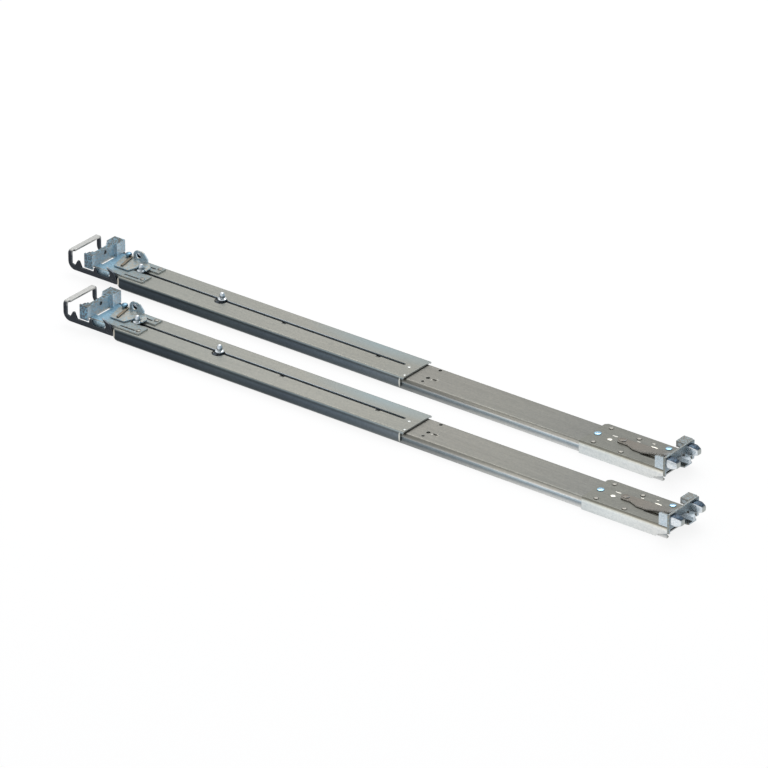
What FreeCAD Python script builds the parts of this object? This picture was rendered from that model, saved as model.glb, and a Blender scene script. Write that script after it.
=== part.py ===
import FreeCAD, Part
import math
import os
from FreeCAD import Vector

# Sliding server rail pair, in millimetres.
# Each rail lies flat with its rack side up: +X runs from the rear post to the front post,
# Y is the height of the rail in the rack, and +Z points away from the server.
# In a rail's own frame the rear bearing face is x = 0, the ground is z = 0 and its middle is y = 0.

# Sheet and fits
SHEET = 1.5
SLIDE_GAP_SIDE = 0.65
SLIDE_GAP_TOP = 0.7
RUNNING_GAP = 0.3
SIDE_GAP = 0.4
WEB_GAP = 0.25
PIVOT_GAP = 0.1
ROOM = 1.0

# Pair
PAIR_STAGGER = 64.8
PAIR_SPACING = 84.4

# Rear telescoping sleeve
SLEEVE_REAR = 39.2
SLEEVE_LENGTH = 336.0
SLEEVE_WALL_SETBACK = 3.6
SLEEVE_WIDTH = 43.0
SLEEVE_TOP = 12.7
SLEEVE_DEPTH = 10.7
SLEEVE_BEND = 2.4
SLOT_Y = 1.4
SLOT_WIDTH = 3.4
SLOT_FRONT_MARGIN = 16.2
NOTCH_SIZE = 4.6
NOTCH_PLACES = (221.4, 331.1)
KEYHOLE_DIAMETER = 12.5
KEYHOLE_DROP = 2.0
SLEEVE_CORNER_CUT = 2.4

# Guide studs on the outer member
STUD_INSET = 10.1
STUD_PITCH = 97.2
STUD_HEAD = 8.6
STUD_HEAD_HEIGHT = 1.4
STUD_POST = 5.6
STUD_POST_TOP = 20.4

# Ball slide members; each rear inset counts from the rear end of the piece around it
OUTER_INSET = 2.0
OUTER_SETBACK = 4.0
OUTER_WALL = 1.4
OUTER_BEND = 3.0
OUTER_LIP = 3.0
BEAD_RADIUS = 1.0
BEAD_DEPTH = 0.45
BEAD_RISE = 1.6
SMALL_HOLES_PAST_SLEEVE = 15.5
SMALL_HOLES = ((-4.0, 4.0), (-12.1, 3.0), (14.4, 3.5))
LANCE_HEIGHT = 0.9
LANCE_WIDTH = 3.4
LANCE_STEPS = (3.5, 5.5, 10.0, 11.0)
MIDDLE_INSET = 5.5
MIDDLE_SETBACK = 8.0
MIDDLE_WEB = 1.2
MIDDLE_SIDE = 1.7
INNER_INSET = 1.5
INNER_SETBACK = 4.0
INNER_WALL = 1.2
INNER_SIDE = 1.5
INNER_FLOOR = 0.3
MEMBER_FLOOR = 1.0
BUMPER_CHEEK = 4.5

# Keyholes that hang the inner member on the shoulder studs of the server
CHASSIS_HOLES = 3
CHASSIS_INSET = 58.0
CHASSIS_PITCH = 220.0
CHASSIS_HOLE = 8.4
CHASSIS_SLOT = 4.6
CHASSIS_SLOT_LENGTH = 9.0

# Release lever of the inner member
LEVER_SETBACK = 60.0
LEVER_LENGTH = 40.0
LEVER_WIDTH = 5.0
LEVER_SHEET = 1.2
LEVER_TAB = 2.0
LEVER_TAB_LENGTH = 7.0
LEVER_PIN = 3.2
LEVER_RIVET = 5.2

# Balls and cages
BALL_DIAMETER = 3.2
BALL_GAP = 0.1
BALL_PLANE_Z = 3.9
GROOVE_DEPTH = 0.35
GROOVE_EXTRA_RADIUS = 0.3
CAGE_INSET = 185.0
CAGE_LENGTH = 240.0
CAGE_SHEET = 0.5
CAGE_SIDE = 0.8
CAGE_FLOOR = 1.9
BALLS_PER_SIDE = 5
BALL_PITCH = 48.0
POCKET_GAP = 0.2

# Front bracket and flange
FLANGE_FACE = 668.0
FRONT_PLATE_LENGTH = 94.8
FRONT_PLATE_SHEET = 2.2
FRONT_PLATE_BEND = 1.8
FRONT_SIDE_SETBACK = 14.7
FRONT_SIDE_FLOOR = 0.1
FRONT_SIDE_RISE = 6.4
FRONT_SIDE_HEEL = 3.0
FRONT_CORNER_CHAMFER = 4.0
LATCH_RELIEF = ((24.6, -9.6), (44.6, -9.6), (44.6, -5.4), (26.0, -5.4))
FRONT_HEADS = ((5.7, -0.6, 7.0), (9.6, 14.9, 5.0), (12.0, -16.0, 5.0), (41.5, 13.4, 5.0),
               (42.9, -16.6, 5.0), (73.3, 14.1, 6.4))
HEAD_HEIGHT = 0.9
FLANGE_TOP = 25.7
FLANGE_SHEET = 2.2
FLANGE_NEAR_Y = -21.6
FLANGE_FAR_Y = 23.0
RETURN_DEPTH = 11.4
RETURN_SHEET = 1.8
NEAR_RETURN_DROP = 0.8
FLANGE_CORNER = 1.5
FAR_BOX_Y = 10.7
FAR_BOX_DROP = 6.0
TONGUE_REACH = 6.6
TONGUE_NEAR_Y = -3.0
TONGUE_FAR_Y = 12.0
TONGUE_TAPER = 2.0
TONGUE_SHEET = 1.5

# Pilot pins for the square holes of a rack post
PIN_SPACING = 31.75
PIN_Z = 19.0
PIN_SIZE = 9.2
FRONT_PIN_REACH = 11.0
REAR_PIN_REACH = 3.5
PIN_SHOULDER = 0.5
PIN_TAPER = 2.2

# Front latch arm
LATCH_INSET = 33.2
LATCH_PIVOT_Y = -0.4
LATCH_SHEET = 1.6
LATCH_PIN = 4.2
LATCH_RIVET = 6.4
LATCH_RIVET_HEIGHT = 0.8
LATCH_HEEL = 5.0
LATCH_HEEL_HALF = 3.4
LATCH_HEEL_CORNER = 3.0
LATCH_SHOULDER = 7.0
LATCH_BELLY = ((16.0, -7.2), (26.5, -7.2))
LATCH_NECK = 3.6
LATCH_NECK_NEAR = 0.6
LATCH_NECK_LENGTH = 14.0
LATCH_BARB = 3.0
LATCH_BARB_LENGTH = 4.4
LATCH_REACH = 9.8
LATCH_NOSE_HEIGHT = 4.0
LATCH_RAMP = 7.0
LATCH_SWING = 3.0
LATCH_WINDOW_GAP = 0.8

# Rear bracket and flange
BRACKET_SHEET = 1.5
BRACKET_SIDE_INSET = 3.0
BRACKET_REACH = 26.7
BRACKET_TAPER = 1.0
BRACKET_FORK = 4.6
BRACKET_FORK_GAP = 0.7
BRACKET_EAR_DROP = 8.4
BRACKET_EAR_REAR = 7.0
BRACKET_EAR_TAPER = 2.0
BRACKET_EAR_STEP = 5.8
REAR_HEADS = (13.6, -12.8)
REAR_HEAD = 4.8
REAR_HEAD_INSET = 3.8
REAR_FLANGE_DEPTH = 9.6
REAR_FLANGE_HALF = 22.5
REAR_FLANGE_SHEET = 2.0
REAR_FLANGE_TOP = 26.6
REAR_FLANGE_DROP = 0.5
REAR_LIP = 4.1
REAR_BOX_STEP = 3.0
REAR_PAD = 12.0
REAR_PAD_TOP = 23.6
NEAR_PANEL_FLOOR = 11.7
REAR_WINDOW = (-11.0, 8.0)
REAR_WINDOW_LENGTH = 3.3
SPY_HOLE = 2.8
SPY_HOLE_PLACE = (-3.2, 22.6)
BRACKET_SLOTS = ((2.7, -15.4), (6.9, 10.2))
BRACKET_SLOT_FRONT = 20.0
BRACKET_SLOT_WIDTH = 2.0

# Rear latch hoop; the fins run along its strips as (x, z) corners
HOOP_PIVOT_INSET = 5.5
HOOP_PIVOT_Z = 8.2
HOOP_PIN = 4.0
HOOP_REAR = -20.2
HOOP_TOP = 23.7
HOOP_OVERHANG = 0.3
HOOP_SHEET = 1.8
HOOP_BAR = 5.4
HOOP_LEG = 4.0
HOOP_FLOOR = 4.7
HOOP_CORNER = 8.0
HOOP_HORN_CORNER = 5.0
HOOP_ARCH_FOOT = 18.0
HOOP_ARCH_LAP = 1.0
HOOP_ARCH_CORNER = 3.5
HOOP_BAR_INSET = 2.0
HOOP_FINS = ((38.1, 9.5), (35.1, 15.6), (26.0, 19.0), (29.6, 14.6), (30.2, 11.6), (28.3, 8.8), (15.4, 8.8),
             (12.9, 13.8), (11.0, 13.8), (10.2, 9.2), (-4.2, 9.2), (-7.2, 15.4), (-9.0, 15.4), (-12.3, 9.4))
HOOP_LEG_HEEL = 10.4
HOOP_STRAP_REAR = 1.8
HOOP_STRAP_WIDTH = 2.6
HOOP_STRAP_SHEET = 1.3
HOOP_SPRING_WIDTH = 12.0
HOOP_SPRING_SHEET = 0.7
HOOP_SPRING_REAR = 13.6
HOOP_SPRING_LAP = 6.0
HOOP_SPRING_SLOPE = 1.4
HOOP_SPRING_FOOT = 1.2

# Sleeve lock; its outline and its eye count from the pivot
LOCK_PIVOT_INSET = 15.5
LOCK_PIVOT_Y = 14.2
LOCK_SHEET = 1.2
LOCK_GAP = 0.4
LOCK_PIN = 4.1
LOCK_KNOB = 6.4
LOCK_KNOB_HEIGHT = 2.6
LOCK_TAIL = ((-4.1, 2.8), (-4.1, -4.2), (0.9, -22.6), (17.6, -22.6))
LOCK_SHOULDER = ((23.0, 1.4), (4.6, 1.4), (0.0, 5.2))
LOCK_SHOULDER_CORNER = 3.0
LOCK_HOOK_NEAR = 0.5
LOCK_HOOK_SWING = 2.0
LOCK_HOOK_WIDTH = 3.2
LOCK_HOOK_CORNER = 2.0
LOCK_EYE_PLATE = ((5.6, 0.0), (22.6, 0.0), (22.6, 3.8), (17.4, 10.0), (8.0, 10.0), (5.6, 5.8))
LOCK_EYE_CORNER = 4.0
LOCK_EYE_SHEET = 1.4
LOCK_EYE_PLACE = (11.8, 5.3)
LOCK_EYE = 6.0
LOCK_SPRING_SHEET = 1.2
LOCK_SPRING_WIDTH = 2.6
LOCK_SPRING_LENGTH = 20.2
LOCK_SPRING_SLANT = 4.2

# Derived places
SLEEVE_HALF = SLEEVE_WIDTH / 2
HOOP_HALF = SLEEVE_HALF + HOOP_OVERHANG
BRACKET_HALF_WIDTH = SLEEVE_HALF - BRACKET_SIDE_INSET
OUTER_REAR = SLEEVE_REAR + OUTER_INSET
OUTER_FRONT = FLANGE_FACE - OUTER_SETBACK
MIDDLE_REAR = OUTER_REAR + MIDDLE_INSET
MIDDLE_FRONT = OUTER_FRONT - MIDDLE_SETBACK
INNER_REAR = MIDDLE_REAR + INNER_INSET
INNER_FRONT = OUTER_FRONT - INNER_SETBACK
CAGE_REAR = OUTER_REAR + CAGE_INSET
STUD_REAR_X = SLEEVE_REAR + STUD_INSET
STUD_SHANK = SLOT_WIDTH - SIDE_GAP
LEVER_PIVOT_X = INNER_FRONT - LEVER_SETBACK
FRONT_PLATE_REAR = FLANGE_FACE - FRONT_PLATE_LENGTH
FRONT_PLATE_FRONT = FLANGE_FACE - FLANGE_SHEET
LATCH_PIVOT_X = FRONT_PLATE_REAR + LATCH_INSET
BRACKET_FRONT = SLEEVE_REAR + BRACKET_REACH
HOOP_PIVOT_X = SLEEVE_REAR - HOOP_PIVOT_INSET
LOCK_PIVOT_X = SLEEVE_REAR - LOCK_PIVOT_INSET
SLEEVE_FRONT = SLEEVE_REAR + SLEEVE_LENGTH
SLEEVE_FLOOR = SLEEVE_TOP - SLEEVE_DEPTH
OUTER_HALF = SLEEVE_HALF - SHEET - SLIDE_GAP_SIDE
OUTER_TOP = SLEEVE_TOP - SHEET - SLIDE_GAP_TOP
BALL_RADIUS = BALL_DIAMETER / 2
GROOVE_RADIUS = BALL_RADIUS + GROOVE_EXTRA_RADIUS
OUTER_BALL_Y = OUTER_HALF - OUTER_WALL + GROOVE_DEPTH - BALL_GAP - BALL_RADIUS
MIDDLE_HALF = OUTER_BALL_Y - BALL_RADIUS - BALL_GAP + GROOVE_DEPTH
MIDDLE_INNER_Y = MIDDLE_HALF - MIDDLE_SIDE
INNER_BALL_Y = MIDDLE_INNER_Y + GROOVE_DEPTH - BALL_GAP - BALL_RADIUS
INNER_HALF = INNER_BALL_Y - BALL_RADIUS - BALL_GAP + GROOVE_DEPTH
OUTER_CAGE_TOP = OUTER_TOP - OUTER_WALL - WEB_GAP
MIDDLE_TOP = OUTER_CAGE_TOP - CAGE_SHEET - WEB_GAP
INNER_CAGE_TOP = MIDDLE_TOP - MIDDLE_WEB - WEB_GAP
INNER_TOP = INNER_CAGE_TOP - CAGE_SHEET - WEB_GAP
STUD_FRONT_X = STUD_REAR_X + STUD_PITCH
SLOT_FRONT_X = SLEEVE_FRONT - SLOT_FRONT_MARGIN
BRACKET_TOP = SLEEVE_TOP + BRACKET_SHEET
LOCK_FLOOR = BRACKET_TOP + LOCK_GAP
LOCK_TOP = LOCK_FLOOR + LOCK_SHEET
LATCH_FLOOR = SLEEVE_TOP + RUNNING_GAP
LATCH_TOP = LATCH_FLOOR + LATCH_SHEET
LATCH_NECK_FAR = LATCH_NECK_NEAR + LATCH_NECK
LATCH_NOSE_TOP = LATCH_FLOOR + LATCH_NOSE_HEIGHT
LATCH_SWEEP = (FLANGE_FACE - LATCH_PIVOT_X + LATCH_REACH) * math.radians(LATCH_SWING)
PIN_Y = PIN_SPACING / 2
MIDDLE_X = (HOOP_REAR + FLANGE_FACE + FRONT_PIN_REACH) / 2
MIDDLE_Y = (FLANGE_FAR_Y - REAR_FLANGE_HALF) / 2


# Drawing helpers

def rounded_path(points, radii, closed=False):
    """Wire through the points, each corner rounded by the radius of the same index."""
    count = len(points)
    corners = range(count) if closed else range(1, count - 1)
    starts = dict()
    ends = dict()
    arcs = dict()
    for i in range(count):
        starts[i] = points[i]
        ends[i] = points[i]
    for i in corners:
        if radii[i] > 0:
            corner = points[i]
            back = (points[i - 1] - corner).normalize()
            ahead = (points[(i + 1) % count] - corner).normalize()
            half_angle = back.getAngle(ahead) / 2
            trim = radii[i] / math.tan(half_angle)
            middle = (back + ahead).normalize()
            reach = radii[i] / math.sin(half_angle) - radii[i]
            starts[i] = corner + back * trim
            ends[i] = corner + ahead * trim
            arcs[i] = Part.Arc(starts[i], corner + middle * reach, ends[i]).toShape()
    edges = []
    for i in range(count if closed else count - 1):
        following = (i + 1) % count
        if i in arcs:
            edges.append(arcs[i])
        if (starts[following] - ends[i]).Length > 1e-6:
            edges.append(Part.LineSegment(ends[i], starts[following]).toShape())
    return Part.Wire(edges)


def bent_sheet(section, radii, wall, rear, front):
    """Sheet of one thickness, bent along X; a positive wall lies to the right of the (y, z) path."""
    path = rounded_path([Vector(rear, y, z) for y, z in section], [0] + list(radii) + [0])
    face = path.makeOffset2D(wall, join=0, fill=True, openResult=True)
    return face.extrude(Vector(front - rear, 0, 0))


def outline_xy(points, radii, floor, top):
    """Flat plate from its (x, y) outline."""
    wire = rounded_path([Vector(x, y, floor) for x, y in points], radii, closed=True)
    return Part.Face(wire).extrude(Vector(0, 0, top - floor))


def outline_xz(points, radii, near, far):
    """Upright plate from its (x, z) outline, between two values of y."""
    wire = rounded_path([Vector(x, near, z) for x, z in points], radii, closed=True)
    return Part.Face(wire).extrude(Vector(0, far - near, 0))


def outline_yz(points, radii, rear, front):
    """Upright plate from its (y, z) outline, between two values of x."""
    wire = rounded_path([Vector(rear, y, z) for y, z in points], radii, closed=True)
    return Part.Face(wire).extrude(Vector(front - rear, 0, 0))


def block(x0, x1, y0, y1, z0, z1):
    return Part.makeBox(x1 - x0, y1 - y0, z1 - z0, Vector(x0, y0, z0))


def upright_rod(x, y, diameter, floor, top):
    return Part.makeCylinder(diameter / 2, top - floor, Vector(x, y, floor), Vector(0, 0, 1))


def slot_tool(x0, x1, y, width, floor, top):
    """Straight slot with round ends; x0 and x1 are the centres of the ends."""
    radius = width / 2
    tool = block(x0, x1, y - radius, y + radius, floor, top)
    for x in (x0, x1):
        tool = tool.fuse(upright_rod(x, y, width, floor, top))
    return tool.removeSplitter()


def prism(x, y, diameter, floor, top, sides=12):
    """Small upright rod or hole, drawn with flat sides."""
    return ringed([ring(x, y, diameter / 2, z, sides) for z in (floor, top)])


def ring(x, y, radius, z, sides):
    turns = [2 * math.pi * i / sides for i in range(sides)]
    return [Vector(x + radius * math.cos(turn), y + radius * math.sin(turn), z) for turn in turns]


def ringed(rings):
    """Solid with flat faces between matching rings of corners, closed by the first and the last ring."""
    faces = [Part.Face(Part.makePolygon(ring + ring[:1])) for ring in (rings[0], rings[-1])]
    for lower, upper in zip(rings, rings[1:]):
        for i in range(len(lower)):
            corners = [lower[i - 1], lower[i], upper[i], upper[i - 1]]
            faces.append(Part.Face(Part.makePolygon(corners + corners[:1])))
    return Part.makeSolid(Part.makeShell(faces))


def button(x, y, diameter, floor, height, sides=12):
    """Low tapered rivet head, drawn with flat sides."""
    return ringed([ring(x, y, diameter / 2, floor, sides), ring(x, y, diameter / 3, floor + height, sides)])


def both_sides(shape):
    """The shape and its mirror image across the middle plane of the rail."""
    return [shape, shape.mirror(Vector(0, 0, 0), Vector(0, 1, 0))]


def cut_all(shape, tools):
    for tool in tools:
        shape = shape.cut(tool)
    return shape


def fused(shapes):
    return shapes[0].multiFuse(shapes[1:]).removeSplitter()


# Ball slide

def ball_groove(side_y, outward, rear, front):
    """Cutters for a pair of ball grooves rolled into faces at +side_y and -side_y."""
    centre = side_y + outward * (GROOVE_DEPTH - GROOVE_RADIUS)
    rod = Part.makeCylinder(GROOVE_RADIUS, front - rear, Vector(rear, centre, BALL_PLANE_Z), Vector(1, 0, 0))
    return both_sides(rod)


def outer_member():
    lip_y = OUTER_HALF - OUTER_LIP
    section = [(-lip_y, 0), (-OUTER_HALF, 0), (-OUTER_HALF, OUTER_TOP), (OUTER_HALF, OUTER_TOP),
               (OUTER_HALF, 0), (lip_y, 0)]
    radii = [0, OUTER_BEND, OUTER_BEND, 0]
    member = bent_sheet(section, radii, OUTER_WALL, OUTER_REAR, OUTER_FRONT)
    member = cut_all(member, ball_groove(OUTER_HALF - OUTER_WALL, 1, OUTER_REAR, OUTER_FRONT))
    bead_start = Vector(OUTER_REAR, OUTER_HALF + BEAD_RADIUS - BEAD_DEPTH, BALL_PLANE_Z + BEAD_RISE)
    bead = Part.makeCylinder(BEAD_RADIUS, OUTER_FRONT - OUTER_REAR, bead_start, Vector(1, 0, 0))
    member = cut_all(member, both_sides(bead))
    hole_x = SLEEVE_FRONT + SMALL_HOLES_PAST_SLEEVE
    below = OUTER_TOP - OUTER_WALL
    for y, diameter in SMALL_HOLES:
        member = member.cut(prism(hole_x, y, diameter, below - ROOM, OUTER_TOP + ROOM))
    member = member.cut(latch_relief())
    foot = OUTER_TOP - OUTER_WALL / 2
    crest = OUTER_TOP + LANCE_HEIGHT
    start, rise, fall, end = [hole_x + x for x in LANCE_STEPS]
    near = SMALL_HOLES[0][0]
    lance = outline_xz([(start, foot), (rise, crest), (fall, crest), (end, foot)], [0] * 4,
                       near, near + LANCE_WIDTH)
    return fused([member, lance])


def middle_member():
    section = [(-MIDDLE_HALF, MEMBER_FLOOR), (-MIDDLE_HALF, MIDDLE_TOP),
               (MIDDLE_HALF, MIDDLE_TOP), (MIDDLE_HALF, MEMBER_FLOOR)]
    solid = outline_yz(section, [0, 0, 0, 0], MIDDLE_REAR, MIDDLE_FRONT)
    inside = MIDDLE_INNER_Y
    hollow = block(MIDDLE_REAR - ROOM, MIDDLE_FRONT + ROOM, -inside, inside, 0, MIDDLE_TOP - MIDDLE_WEB)
    member = solid.cut(hollow)
    member = cut_all(member, ball_groove(MIDDLE_HALF, -1, MIDDLE_REAR, MIDDLE_FRONT))
    return cut_all(member, ball_groove(MIDDLE_INNER_Y, 1, MIDDLE_REAR, MIDDLE_FRONT))


def inner_member():
    section = [(-INNER_HALF, INNER_TOP), (-INNER_HALF, INNER_FLOOR),
               (INNER_HALF, INNER_FLOOR), (INNER_HALF, INNER_TOP)]
    solid = outline_yz(section, [0, INNER_SIDE, INNER_SIDE, 0], INNER_REAR, INNER_FRONT)
    inside = INNER_HALF - INNER_SIDE
    floor = INNER_FLOOR + INNER_WALL
    hollow = block(INNER_REAR - ROOM, INNER_FRONT + ROOM, -inside, inside, floor, INNER_TOP + ROOM)
    member = solid.cut(hollow)
    member = cut_all(member, ball_groove(INNER_HALF, -1, INNER_REAR, INNER_FRONT))
    for i in range(CHASSIS_HOLES):
        member = member.cut(keyhole_tool(INNER_REAR + CHASSIS_INSET + i * CHASSIS_PITCH))
    return member


def keyhole_tool(x):
    """Round eye with a narrower slot that runs on towards the front."""
    floor = INNER_FLOOR - ROOM
    top = INNER_FLOOR + INNER_WALL + ROOM
    slot = block(x, x + CHASSIS_SLOT_LENGTH, -CHASSIS_SLOT / 2, CHASSIS_SLOT / 2, floor, top)
    return fused([upright_rod(x, 0, CHASSIS_HOLE, floor, top), slot])


def ball_cage(ball_y, top):
    """U-shaped strip that spaces two rows of balls, with a square pocket for each ball."""
    half = ball_y + CAGE_SIDE / 2
    section = [(-half, CAGE_FLOOR), (-half, top), (half, top), (half, CAGE_FLOOR)]
    solid = outline_yz(section, [0, 0, 0, 0], CAGE_REAR, CAGE_REAR + CAGE_LENGTH)
    inside = ball_y - CAGE_SIDE / 2
    hollow = block(CAGE_REAR - ROOM, CAGE_REAR + CAGE_LENGTH + ROOM, -inside, inside, 0, top - CAGE_SHEET)
    cage = solid.cut(hollow)
    pocket = BALL_RADIUS + POCKET_GAP
    low = BALL_PLANE_Z - pocket
    high = BALL_PLANE_Z + pocket
    outside = half + ROOM
    pockets = [block(x - pocket, x + pocket, -outside, outside, low, high) for x in ball_places()]
    return cage.cut(Part.makeCompound(pockets))


def ball_places():
    """Places of the balls along a cage, centred on its length."""
    first = CAGE_REAR + (CAGE_LENGTH - (BALLS_PER_SIDE - 1) * BALL_PITCH) / 2
    return [first + i * BALL_PITCH for i in range(BALLS_PER_SIDE)]


def ball(centre):
    """Ball drawn as the twenty-sided solid whose corners lie on its surface."""
    golden = (1 + math.sqrt(5)) / 2
    corners = []
    for a in (-1, 1):
        for b in (-golden, golden):
            corners += [Vector(0, a, b), Vector(a, b, 0), Vector(b, 0, a)]
    size = BALL_RADIUS / corners[0].Length
    faces = []
    for i in range(len(corners)):
        for j in range(i):
            for k in range(j):
                sides = [(corners[i] - corners[j]).Length, (corners[j] - corners[k]).Length,
                         (corners[k] - corners[i]).Length]
                if max(sides) < 2.01:
                    points = [centre + corners[n] * size for n in (i, j, k)]
                    faces.append(Part.Face(Part.makePolygon(points + points[:1])))
    return Part.makeSolid(Part.makeShell(faces))


def ball_rows(ball_y):
    return Part.makeCompound([ball(Vector(x, side * ball_y, BALL_PLANE_Z))
                              for x in ball_places() for side in (-1, 1)])


def stop_bumper():
    """Plastic bumper under the web at the rear end, which the two sliding members close against."""
    half = MIDDLE_INNER_Y
    top = OUTER_TOP - OUTER_WALL
    cheek = top - BUMPER_CHEEK
    floor = INNER_FLOOR + RUNNING_GAP
    outline = [(-half, top), (-half, cheek), (-half / 2, floor), (half / 2, floor), (half, cheek), (half, top)]
    return outline_yz(outline, [0] * 6, OUTER_REAR, MIDDLE_REAR - RUNNING_GAP)


def release_lever():
    """Flat lever in the inner member that frees it from the middle member."""
    floor = INNER_FLOOR + INNER_WALL + RUNNING_GAP
    top = floor + LEVER_SHEET
    half = LEVER_WIDTH / 2
    rear = LEVER_PIVOT_X - LEVER_PIN
    front = LEVER_PIVOT_X + LEVER_LENGTH
    plate = block(rear, front, -half, half, floor, top)
    tab = block(front - LEVER_TAB_LENGTH, front, -half, -half + LEVER_SHEET, floor, top + LEVER_TAB)
    hole = upright_rod(LEVER_PIVOT_X, 0, LEVER_PIN + 2 * PIVOT_GAP, floor - ROOM, top + ROOM)
    return fused([plate, tab]).cut(hole)


def release_pivot():
    floor = INNER_FLOOR + INNER_WALL
    head = floor + 2 * RUNNING_GAP + LEVER_SHEET
    return fused([upright_rod(LEVER_PIVOT_X, 0, LEVER_PIN, floor, head),
                  button(LEVER_PIVOT_X, 0, LEVER_RIVET, head, HEAD_HEIGHT)])


# Guide studs

def guide_studs():
    """Two shouldered studs that hold the sleeve on the outer member; the rear post holds the lock."""
    flange_floor = SLEEVE_TOP + RUNNING_GAP
    post_floor = flange_floor + STUD_HEAD_HEIGHT
    studs = []
    for x in (STUD_REAR_X, STUD_FRONT_X):
        neck = prism(x, SLOT_Y, STUD_SHANK, OUTER_TOP, flange_floor)
        flange = prism(x, SLOT_Y, STUD_HEAD, flange_floor, post_floor)
        studs.append(fused([neck, flange, upright_rod(x, SLOT_Y, STUD_POST, post_floor, STUD_POST_TOP)]))
    return Part.makeCompound(studs)


# Sleeve

def sleeve():
    section = [(-SLEEVE_HALF, SLEEVE_FLOOR), (-SLEEVE_HALF, SLEEVE_TOP),
               (SLEEVE_HALF, SLEEVE_TOP), (SLEEVE_HALF, SLEEVE_FLOOR)]
    body = bent_sheet(section, [SLEEVE_BEND, SLEEVE_BEND], SHEET, SLEEVE_REAR, SLEEVE_FRONT)
    low = SLEEVE_TOP - SHEET - ROOM
    high = SLEEVE_TOP + ROOM
    slot_near = SLOT_Y - SLOT_WIDTH / 2
    tools = [slot_tool(STUD_REAR_X, SLOT_FRONT_X, SLOT_Y, SLOT_WIDTH, low, high),
             upright_rod(STUD_FRONT_X, SLOT_Y - KEYHOLE_DROP, KEYHOLE_DIAMETER, low, high)]
    for x in NOTCH_PLACES:
        side = NOTCH_SIZE / 2
        tools.append(block(x - side, x + side, slot_near - side, SLOT_Y, low, high))
    tools += rear_slots(low)
    cut = SLEEVE_CORNER_CUT
    outside = SLEEVE_HALF + ROOM
    rear = SLEEVE_REAR
    corner = [(rear - ROOM, 0), (rear + cut, 0), (rear + cut, SLEEVE_FLOOR), (rear, SLEEVE_FLOOR + cut),
              (rear - ROOM, SLEEVE_FLOOR + cut)]
    tools.append(outline_xz(corner, [0] * 5, -outside, outside))
    tools.append(block(SLEEVE_FRONT - SLEEVE_WALL_SETBACK, SLEEVE_FRONT, -outside, outside,
                       SLEEVE_FLOOR - ROOM, SLEEVE_TOP - SLEEVE_BEND))
    return cut_all(body, tools)


def rear_slots(low):
    """Two short slots through the sleeve and the bracket that lies on it."""
    front = SLEEVE_REAR + BRACKET_SLOT_FRONT
    return [block(SLEEVE_REAR + inset, front, near, near + BRACKET_SLOT_WIDTH, low, BRACKET_TOP + ROOM)
            for inset, near in BRACKET_SLOTS]


# Front bracket

def front_bracket():
    """Plate riveted on the outer member, with a side flange folded down each side."""
    section = [(-SLEEVE_HALF, FRONT_SIDE_FLOOR), (-SLEEVE_HALF, SLEEVE_TOP),
               (SLEEVE_HALF, SLEEVE_TOP), (SLEEVE_HALF, FRONT_SIDE_FLOOR)]
    rear = FRONT_PLATE_REAR
    front = FRONT_PLATE_FRONT
    solid = outline_yz(section, [0, FRONT_PLATE_BEND, FRONT_PLATE_BEND, 0], rear, front)
    inside = SLEEVE_HALF - SHEET
    below = SLEEVE_TOP - FRONT_PLATE_SHEET
    bracket = solid.cut(block(rear - ROOM, front + ROOM, -inside, inside, 0, below))
    outside = SLEEVE_HALF + ROOM
    heel = FLANGE_FACE - FRONT_SIDE_SETBACK
    wedge = outline_xz([(heel, 0), (front + ROOM, 0), (front + ROOM, FRONT_SIDE_RISE),
                        (heel + FRONT_SIDE_HEEL, FRONT_SIDE_HEEL)], [0] * 4, -outside, outside)
    cut = FRONT_CORNER_CHAMFER
    corner = outline_xy([(rear - ROOM, outside), (rear + cut, outside), (rear + cut, SLEEVE_HALF),
                         (rear, SLEEVE_HALF - cut), (rear - ROOM, SLEEVE_HALF - cut)],
                        [0] * 5, 0, SLEEVE_TOP + ROOM)
    return cut_all(bracket, [wedge, corner, latch_relief()])


def latch_relief():
    """Opening beside the front latch, through the plate and the outer member under it."""
    outline = [(LATCH_PIVOT_X + x, LATCH_PIVOT_Y + y) for x, y in LATCH_RELIEF]
    return outline_xy(outline, [0] * 4, OUTER_TOP - OUTER_WALL - WEB_GAP / 2, SLEEVE_TOP + ROOM)


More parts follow.
